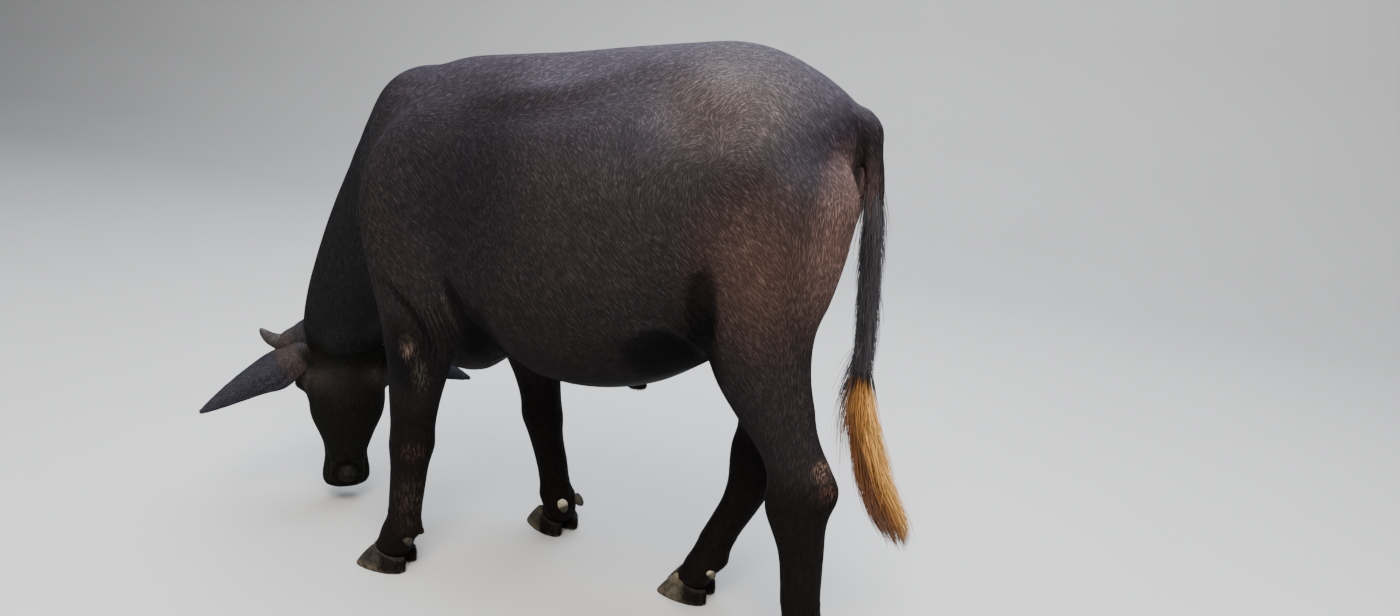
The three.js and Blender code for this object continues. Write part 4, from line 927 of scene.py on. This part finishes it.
random = np.random.default_rng(11)
roots, facing = strewn(skin, COAT_COUNT, random)
chance = random.random((5, len(roots)))
ways = lie_of_the_coat(roots, facing)
ways = unit(ways + np.cross(ways, facing) * random.normal(0, FLYAWAY, len(roots))[:, None])
x, y, z = roots.T
down, left, front = in_head(roots).T
on_the_head = (z < 470) & (x < -270) & (front > -160)
bare = on_the_head & (down > 372) & (front > 0)
bare |= (on_an_ear(roots) > 0.5) & (chance[0] < 0.5)
for side in (1, -1):
    bare |= np.linalg.norm(roots - on_head(EYE[0], side * (EYE[1] + 18), EYE[2]), axis=1) < 21
leg = (z < 480) & ~on_the_head
hoof_edge = np.min([np.where(np.hypot(x - foot_place(name)[0][0], y - foot_place(name)[0][1]) < 110,
                             z - hoof_line(name, x, y), 999) for name in LEGS], axis=0)
length, width, lift = (np.select([on_the_head, leg], [on_head_size, on_leg_size], size)
                       for on_head_size, on_leg_size, size in zip(HEAD_TUFT, LEG_TUFT, TUFT))
length[~on_the_head & ~leg & (x < -200)] = NECK_LENGTH
length = length * (0.75 + 0.5 * chance[1]) * (1 + (hoof_edge < 14))
width, lift = width * (0.75 + 0.5 * chance[2]), lift * (0.5 + chance[3])
bright = np.select([on_the_head | (x < -230), leg], [0.3, 0.5], 1.0) * (0.35 + 0.65 * soft_step(480, 640, z))
tone = random.random(len(roots))
tone = np.where(chance[4] > 1 - PALE_SHARE, 0.5 + 0.7 * tone, 0.1 * tone) * bright

LEFT = y < 0
WHERE = {
    "coat_head": on_the_head, "coat_neck": (x < -170) & (z > 330), "coat_dock": (x > 772) & (z > 560),
    "coat_foreleg_left": (x < 300) & (z <= 560) & LEFT, "coat_foreleg_right": (x < 300) & (z <= 560) & ~LEFT,
    "coat_hindleg_left": (x >= 430) & (z <= 600) & LEFT,
    "coat_hindleg_right": (x >= 430) & (z <= 600) & ~LEFT,
    "coat_shoulder_left": (x < 120) & LEFT, "coat_shoulder_right": x < 120,
    "coat_ribs_left": (x < 400) & LEFT, "coat_ribs_right": x < 400,
    "coat_haunch_left": LEFT, "coat_haunch_right": x >= 400,
}

fur, tree, shader = finish("short_hair")
colour, place, lines = hide_colour()
tone_here = kept("tone")
colour = lighter(colour, spread(lines, 0.5, 0.64, 0.85, 1.6))
straw = colour_mix(0.05, lighter(colour, 3.6), (0.20, 0.155, 0.135))
colour = colour_mix(tone_here, colour, straw)
laid_on(colour, 0.5, 0.06)

taken = bare.copy()
for key, here in WHERE.items():
    here = here & ~taken
    taken |= here
    part = key.split("_")[1]
    unwrap = round_the_head if part == "head" else round_the_trunk
    unwrap = round_the_leg(key[5:]) if "leg" in part else unwrap
    piece = tufts(key, roots[here], facing[here], ways[here], length[here], width[here], lift[here],
                  tone[here], unwrap)
    piece.data.materials.append(fur)
    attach(piece, "root")

# Switch: long coarse hair at the end of the tail, gold in the middle and orange-brown outside,
# with black hair down to it and a dark wisp in front. Each strand is a bent, tapering blade.
SWITCH = [
    [0, 826, 645, 18, 19], [0.13, 830, 595, 20, 21], [0.26, 835, 545, 24, 25],
    [0.4, 846, 490, 28, 29], [0.54, 862, 438, 30, 30], [0.68, 880, 386, 32, 29],
    [0.82, 905, 335, 34, 27], [0.93, 926, 296, 31, 23], [1, 938, 272, 24, 16],
]
STRAND_COUNT = 2800
RINGS = 8
LOCKS = 60
# How far strands stray from their lock in turn and width, and those of one side from that side
LOCK_TURN, LOCK_OUT, SIDE_TURN = 0.22, 0.16, 0.35


def strands(rows, count, starts, lengths, reach, size, random, side=None):
    """Long hair down a hanging tube: each strand starts inside it at its own share of the
    length, drifts out to its own share of the width, waves a little and tapers to a point. The
    strands keep together in locks, each with its own side, width and shade."""
    lock = random.integers(0, LOCKS, count)
    shade, lock_out, lock_turn = random.random((3, LOCKS))
    turn = lock_turn[lock] * 2 * np.pi + random.normal(0, LOCK_TURN, count)
    turn = turn if side is None else side + random.normal(0, SIDE_TURN, count)
    start = starts[0] + (starts[1] - starts[0]) * random.random(count)
    length = lengths[0] + (lengths[1] - lengths[0]) * random.random(count)
    length = np.minimum(length, 1.0 + 0.07 * shade[lock] - start)
    out = np.abs(np.sqrt(lock_out[lock]) + random.normal(0, LOCK_OUT, count)) * reach
    shade = shade[lock] * 0.6 + random.random(count) * 0.4
    t = np.linspace(0, 1, RINGS)[None, :]
    share = start[:, None] + length[:, None] * t
    x, z, depth, width = drawn_through(rows, np.minimum(share, 1).ravel()).T.reshape(4, count, RINGS)
    past = np.maximum(share - 1, 0)
    last, before = np.array(rows[-1][1:3]), np.array(rows[-2][1:3])
    slope = (last - before) / (rows[-1][0] - rows[-2][0])
    x, z = x + past * slope[0], z + past * slope[1]
    spread_out = out[:, None] * (0.35 + 0.65 * np.sin(t * np.pi / 2))
    wave = random.normal(0, 0.16, (count, 1)) * np.sin(t * 5 + turn[:, None] * 3)
    swing = turn[:, None] + wave
    middle = np.stack([x + np.cos(swing) * depth * spread_out, np.sin(swing) * width * spread_out, z], -1)
    along = unit(np.gradient(middle, axis=1))
    outward = rows_of(np.cos(turn), np.sin(turn), 0)[:, None]
    across = unit(np.cross(along, np.broadcast_to(outward, along.shape)))
    up = np.cross(across, along)
    taper = (1 - t**2.2 * 0.92) * (0.2 + 0.8 * soft_step(0, 0.22, t))
    taper = (size * (0.7 + 0.6 * random.random(count)))[:, None] * taper
    sides = [across, -0.5 * across + 0.6 * up, -0.5 * across - 0.6 * up]
    points = np.stack([middle + s * taper[:, :, None] for s in sides], 2).reshape(count, -1, 3)
    i, j = np.arange(RINGS - 1)[:, None] * 3, np.arange(3)[None, :]
    a, b = (i + j).ravel(), (i + (j + 1) % 3).ravel()
    end = 3 * (RINGS - 1)
    faces = np.vstack([np.stack([a, a + 3, b], 1), np.stack([b, a + 3, b + 3], 1),
                       [[0, 1, 2], [end, end + 2, end + 1]]])
    faces = (faces[None] + (np.arange(count) * 3 * RINGS)[:, None, None]).reshape(-1, 3)
    return points, faces, out / reach, share, turn, shade


def tail_hair(name, matter, slot, seed, *settings, side=None):
    """A piece of long hair that keeps at each point how far down and how far out it is, and a
    chance number for each strand, with each strand's patch of the map at its root's place."""
    random = np.random.default_rng(seed)
    points, faces, out, share, turn, shade = strands(*settings, random, side)
    piece = made(name, points.reshape(-1, 3), faces)
    mark(piece, "share", np.repeat(share, 3, axis=1))
    for key, values in {"out": out, "tone": shade, "front": np.cos(turn) * np.minimum(out, 1)}.items():
        mark(piece, key, np.repeat(values, 3 * RINGS))
    root = np.stack([np.mod(turn / (2 * np.pi), 1), share[:, 0] * 0.9 + out * 0.05], -1) * MAP_SHARE
    grid = np.stack([np.tile([0, 0.5, 1], RINGS), np.repeat(np.linspace(0, 1, RINGS), 3)], -1)
    map_onto(piece, root, grid * MAP_PATCH, faces)
    piece.data.materials.append(matter)
    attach(piece, "root")
    return piece


switch_matter, tree, shader = finish("switch_hair")
share, tone_here, front = kept("share"), kept("tone"), kept("front")
gold = colour_mix(spread(tone_here, 0.1, 0.9), (0.60, 0.33, 0.085), (0.32, 0.125, 0.026))
burnt = math("SUBTRACT", math("MULTIPLY", share, 1.1), math("MULTIPLY", front, 0.55))
gold = colour_mix(spread(burnt, 0.28, 0.85, 0.0, 0.95), gold, (0.135, 0.045, 0.013))
gold = colour_mix(spread(tone_here, 0.72, 0.95, 0.0, 0.75), gold, (0.06, 0.027, 0.013))
dark = spread(math("ADD", share, math("MULTIPLY", tone_here, 0.16)), 0.33, 0.22)
colour = colour_mix(dark, gold, (0.008, 0.006, 0.006))
laid_on(colour, 0.42)
switch = tail_hair("switch_hair", switch_matter, "switch", 21,
                   SWITCH, STRAND_COUNT, (-0.02, 0.66), (0.3, 0.48), 1.15, 1.35)
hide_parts("tail_switch")
tail_hair("tail_stray", switch_matter, "switch", 24,
          SWITCH, STRAND_COUNT // 24, (0.0, 0.3), (0.3, 0.5), 1.9, 0.7, side=np.pi)

# The tail's black hair is laid in a dark grey, lighter than its black, as a painted sheen
black_hair, tree, shader = finish("black_hair")
colour = colour_mix(kept("tone"), (0.018, 0.0168, 0.019), (0.060, 0.054, 0.061))
laid_on(colour, 0.45)
tail_hair("tail_fringe", black_hair, "tail", 22,
          DOCK, STRAND_COUNT, (0.26, 0.94), (0.14, 0.28), 1.42, 0.8)
tail_hair("tail_wisp", black_hair, "tail", 23,
          SWITCH, STRAND_COUNT // 20, (-0.05, 0.14), (0.18, 0.36), 2.0, 0.8, side=np.pi)

# Horns: short stout stubs of grey-brown horn on skin-covered bosses, with rings of growth.
HORN = [[30, 84, 26], [64, 152, 28], [3, 184, 12]]
HORN_RADII = [[0, 25], [0.2, 23.5], [0.45, 20], [0.65, 16.5], [0.8, 13], [0.92, 8.5], [1, 4]]


def horn_shell(side):
    """A horn: rings of a radius that falls to a blunt tip, square to a bend through three
    places, a little flatter from front to back, with growth rings worn fainter to the tip."""
    share = np.linspace(0, 1, 120)
    a, b, c = (on_head(down, side * out, front) for down, out, front in HORN)
    t = share[:, None]
    centre = a * (1 - t) ** 2 + b * 2 * t * (1 - t) + c * t**2
    along = unit(2 * (1 - t) * (b - a) + 2 * t * (c - b))
    across = unit(np.cross(along, head_front))
    forward = np.cross(across, along)
    radius = drawn_through(HORN_RADII, share)[:, 0]
    radius = radius - 0.3 + 0.55 * np.sin(share**0.8 * 70) * (1 - share) ** 0.8
    tip = np.sqrt(np.clip((1 - share) / 0.03, 0.02, 1))
    radius = (radius * tip)[:, None, None]
    turn = around(48)[None, :, None]
    return closed(centre[:, None] + across[:, None] * np.cos(turn) * radius
                  + forward[:, None] * np.sin(turn) * radius * 0.86)


horn_matter, tree, shader = finish("horn")
place = node("ShaderNodeTexCoord").outputs["Object"]
streaks, worn = rough(place, 60.0, 5.0), rough(place, 14.0)
colour = colour_mix(spread(streaks, 0.35, 0.65), (0.042, 0.038, 0.036), (0.022, 0.020, 0.019))
colour = colour_mix(spread(kept("grown"), 0.35, 0.05), colour, (0.026, 0.018, 0.014))
colour = colour_mix(spread(worn, 0.5, 0.7, 0.0, 0.6), colour, (0.012, 0.011, 0.011))
laid_on(colour, 0.6, 0.08)
bumped(streaks, 0.3, 0.0008)
for word, side in (("left", 1), ("right", -1)):
    horn = made(f"horn_{word}_grown", *horn_shell(side))
    mark(horn, "grown", np.append(np.repeat(np.linspace(0, 1, 120), 48), [0, 1]))
    horn.data.materials.append(horn_matter)
    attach(horn, "root")
    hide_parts(f"horn_{word}")

# Eyes: dark brown wet balls deep in the sockets, with a wide level pupil.
PUPIL_LONG, PUPIL_HIGH = 0.42, 0.2


def distance(across, up):
    """The distance from the middle, from how far a place is across and up."""
    return math("SQRT", math("ADD", math("POWER", across, 2.0), math("POWER", up, 2.0)))


eye_matter, tree, shader = finish("eye")
place = node("ShaderNodeAttribute", attribute_name="gaze").outputs["Vector"]
axes = node("ShaderNodeSeparateXYZ", {0: place}).outputs
pupil = distance(math("DIVIDE", axes["X"], PUPIL_LONG), math("DIVIDE", axes["Y"], PUPIL_HIGH))
iris = distance(axes["X"], axes["Y"])
colour = colour_mix(spread(iris, 0.70, 0.78), (0.035, 0.016, 0.008), (0.13, 0.09, 0.075))
colour = colour_mix(spread(pupil, 1.08, 0.92), colour, (0.002, 0.002, 0.003))
laid_on(colour, 0.06)
shader.inputs["Coat Weight"].default_value = 1.0
shader.inputs["Coat Roughness"].default_value = 0.03
for word, side in (("left", 1), ("right", -1)):
    centre = on_head(EYE[0], side * EYE[1], EYE[2])
    shell = ball(centre, [EYE_RADIUS - 0.4] * 3, head_axes, 40)
    eye = made(f"eye_{word}_wet", *shell)
    local = (shell[0] - centre) @ head_axes.T / EYE_RADIUS
    gaze = eye.data.attributes.new("gaze", "FLOAT_VECTOR", "POINT")
    turned = local[:, [0, 2, 1]].astype(np.float32)
    gaze.data.foreach_set("vector", turned.ravel())
    eye.data.materials.append(eye_matter)
    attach(eye, "root")
    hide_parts(f"eye_{word}")

# Hooves: two claws and two dewclaws to a foot, of dusty grey-tan horn with rings of growth and a
# worn lower edge, flat on the floor.
CLAW_TOE, CLAW_HEEL, CLAW_WIDTH, CLEFT = -63, 56, 47, 5
TOE_LEAN, HEEL_LEAN, DEWCLAW_LENGTH = 0.88, -0.045, 32
HEEL_HAIRS = 12000
DEWCLAW_RADII = [[0, 11.7], [0.35, 13], [0.7, 10.6], [0.92, 6.5], [1, 2.6]]


def claw_shell(side):
    """A claw: upright rings from the sole to the sloping top, narrow and leaning at the toe,
    flat in the cleft, with growth rings and a rounded lower edge."""
    share = np.linspace(0, 1, 26)[:, None]
    angle = around(64)[None, :]
    toe = (1 + np.cos(angle)) / 2
    sway = np.sin(angle) * (1 - 0.28 * toe**2)
    out = 0.5 + 0.5 * np.where(sway > 0, sway, sway * 0.92)
    lean = (HEEL_LEAN + (TOE_LEAN - HEEL_LEAN) * toe) * HOOF_TOP
    x = (CLAW_TOE + CLAW_HEEL) / 2 - np.cos(angle) * (CLAW_HEEL - CLAW_TOE) / 2 + lean * share
    y = side * (CLEFT / 2 + out * CLAW_WIDTH * (1 - 0.06 * share))
    height = (HOOF_TOP - HOOF_SLOPE * x - 0.3) * share
    middle_x, middle_y = -4 + 10 * share, side * (CLEFT / 2 + CLAW_WIDTH / 2)
    ring = 0.45 * np.sin(share * 42 + toe * 2) * soft_step(0.1, 0.3, share) * (1 - soft_step(0.9, 1, share))
    edge = -1.6 * (1 - soft_step(0, 0.09, share)) - 2.2 * soft_step(0.93, 1.0, share)
    push = (ring + edge - 0.5) / 28
    x = x + (x - middle_x) * push
    y = y + (y - middle_y) * push
    return closed(rows_of(x, y, height))


def dewclaw_shell(side):
    """A dewclaw: a short blunt cone behind the pastern that points out, back and down."""
    way = unit(np.array([0.72, side * 0.18, -0.66]))
    root = np.array([FOOT_SETBACK + 26, side * 21, 92])
    across = np.array([0.0, 1, 0])
    up = unit(np.cross(across, way))
    share = np.linspace(0, 1, 24)
    radius = (drawn_through(DEWCLAW_RADII, share)[:, 0] - 0.2 + 0.3 * np.sin(share * 34))[:, None, None]
    turn = around(28)[None, :, None]
    return closed((root + way * (share * DEWCLAW_LENGTH)[:, None])[:, None] + across * np.cos(turn) * radius
                  + up * np.sin(turn) * radius * 0.8)


hoof_matter, tree, shader = finish("hoof_horn")
place = node("ShaderNodeTexCoord").outputs["Object"]
grain, broad = rough(place, 75.0, 6.0), rough(place, 14.0)
height = node("ShaderNodeSeparateXYZ", {0: place}).outputs["Z"]
colour = colour_mix(spread(grain, 0.3, 0.7), (0.010, 0.009, 0.0075), (0.028, 0.024, 0.018))
pale = colour_mix(spread(grain, 0.3, 0.7), (0.032, 0.030, 0.021), (0.078, 0.070, 0.048))
colour = colour_mix(kept("bleached"), colour, pale)
colour = colour_mix(spread(broad, 0.45, 0.6, 0.0, 0.7), colour, (0.016, 0.014, 0.012))
dust = math("MULTIPLY", spread(height, 0.022, 0.004), spread(grain, 0.35, 0.55, 0.2, 0.9))
colour = colour_mix(dust, colour, (0.075, 0.058, 0.040))
band = math("MULTIPLY", spread(kept("up"), 0.72, 0.9), kept("bleached"))
band = math("MULTIPLY", band, spread(broad, 0.4, 0.6, 0.2, 0.8))
colour = colour_mix(band, colour, (0.17, 0.125, 0.075))
colour = colour_mix(kept("heel"), colour, (0.012, 0.0095, 0.008))
cream = math("MULTIPLY", kept("spur"), spread(grain, 0.3, 0.6, 0.6, 1.0))
colour = colour_mix(cream, colour, (0.33, 0.28, 0.19))
laid_on(colour, 0.78, 0.08)
bumped(grain, 0.4, 0.001)
random = np.random.default_rng(31)
for name in LEGS:
    (foot_x, foot_y), turn = foot_place(name)
    outside = np.sign(foot_y)
    shells = [shape(side) for shape in (claw_shell, dewclaw_shell) for side in (outside, -outside)]
    points, faces = gathered(shells)
    c, s = np.cos(turn), np.sin(turn)
    spun = np.stack([points[:, 0] * c + points[:, 1] * s + foot_x,
                     -points[:, 0] * s + points[:, 1] * c + foot_y, points[:, 2]], -1)
    hoof = made(f"hoof_{name}", spun, faces)
    in_claw = np.arange(len(points)) < 2 * len(shells[0][0])
    mark(hoof, "up", np.where(in_claw, points[:, 2] / (HOOF_TOP - HOOF_SLOPE * points[:, 0]), 0))
    mark(hoof, "heel", in_claw * soft_step(-8, 18, points[:, 0]) * soft_step(3, 12, points[:, 2]))
    right = outside > 0
    mark(hoof, "bleached", np.full(len(points), 0.9 if name == "hindleg_right" else 0.3 * right))
    near = np.arange(len(points)) >= len(points) - len(shells[3][0])
    top = 1 - soft_step(14, 20, np.linalg.norm(points - points[near].mean(0) - [-9, 0, 8], axis=1))
    mark(hoof, "spur", top * near * right + 0.02 * ~in_claw)
    hoof.data.materials.append(hoof_matter)
    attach(hoof, "root")
    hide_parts(*[f"{name}_{kind}_{word}" for kind in ("claw", "dewclaw")
                        for word in ("outer", "inner")])

    # The hairy bulbs of the heel hang over the back half of the claws
    roots, facing = strewn(hoof, HEEL_HAIRS, random)
    local_x = (roots[:, 0] - foot_x) * c - (roots[:, 1] - foot_y) * s
    top = HOOF_TOP - HOOF_SLOPE * local_x
    chance = random.random((3, len(roots)))
    here = (local_x > 22 * chance[0]) & (roots[:, 2] > 5) & (roots[:, 2] < top - 2) & (facing[:, 2] < 0.8)
    roots, facing, chance = roots[here], facing[here], chance[:, here]
    ways = unit(np.array([0.35, 0, -1.0]) - facing * (facing @ [0.35, 0, -1.0])[:, None])
    length = np.minimum(6 + 6 * chance[1], roots[:, 2] - 1)
    heel_hair = tufts(f"heel_{name}", roots, facing, ways, length, 0.9 + 0.4 * chance[2],
                      0.6 + chance[1], 0.4 * (chance[2] > 0.8), round_the_leg(name))
    heel_hair.data.materials.append(fur)
    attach(heel_hair, "root")

# Floor, light and camera: a plain pale floor that curves up behind, three large soft lamps, and
# the camera where the photograph was taken from.
run = np.array([[-9, 0], [3.2, 0], [3.9, 0.12], [4.5, 0.5], [4.9, 1.2], [5.0, 6.0]])
points = np.array([[x, y, z] for x in (-14, 14) for y, z in run])
faces = np.array([[i, i + 6, i + 7, i + 1] for i in range(5)])
floor = made("floor", points * 1000 - PLACE, faces)
floor_matter, tree, shader = finish("floor_paint")
place = node("ShaderNodeTexCoord").outputs["Object"]
colour = colour_mix(rough(place, 2.0, 2.0), (0.32, 0.315, 0.305), (0.345, 0.34, 0.33))
laid_on(colour, 0.8)
floor.data.materials.append(floor_matter)
floor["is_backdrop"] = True

LAMPS = [
    ("key", (1.0, -2.6, 4.4), 2.4, 600, (1.0, 0.95, 0.90)),
    ("fill", (-3.4, -3.0, 2.6), 2.6, 40, (0.86, 0.92, 1.0)),
    ("sky", (0.2, 0.6, 4.6), 4.0, 800, (0.84, 0.90, 1.0)),
]
for name, place, size, power, colour in LAMPS:
    light = bpy.data.lights.new(name, "AREA")
    light.size, light.energy, light.color = size, power, colour
    lamp = bpy.data.objects.new(name, light)
    lamp.location = place
    aim = np.array([0, 0, 0.6]) - np.array(place)
    lamp.rotation_mode = "QUATERNION"
    lamp.rotation_quaternion = Vector(aim).to_track_quat("-Z", "Y")
    bpy.context.scene.collection.objects.link(lamp)
world = bpy.data.worlds.new("studio")
world.use_nodes = True
world.node_tree.nodes["Background"].inputs["Color"].default_value = (0.82, 0.88, 1.0, 1)
world.node_tree.nodes["Background"].inputs["Strength"].default_value = 0.22
bpy.context.scene.world = world

camera_data = bpy.data.cameras.new("camera")
camera_data.sensor_width, camera_data.lens = 36, 27.05
camera = bpy.data.objects.new("camera", camera_data)
bpy.context.scene.collection.objects.link(camera)
right, up, back = (0.94428, 0.31652, 0.09027), (-0.17230, 0.24169, 0.95493), (0.28044, -0.91728, 0.28276)
facing = Matrix((right, up, back)).transposed().to_4x4()
stand = (np.array([1077, -1898, 1250]) + PLACE) / 1000
camera.matrix_world = Matrix.Translation(stand) @ facing
bpy.context.scene.camera = camera

low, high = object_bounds()
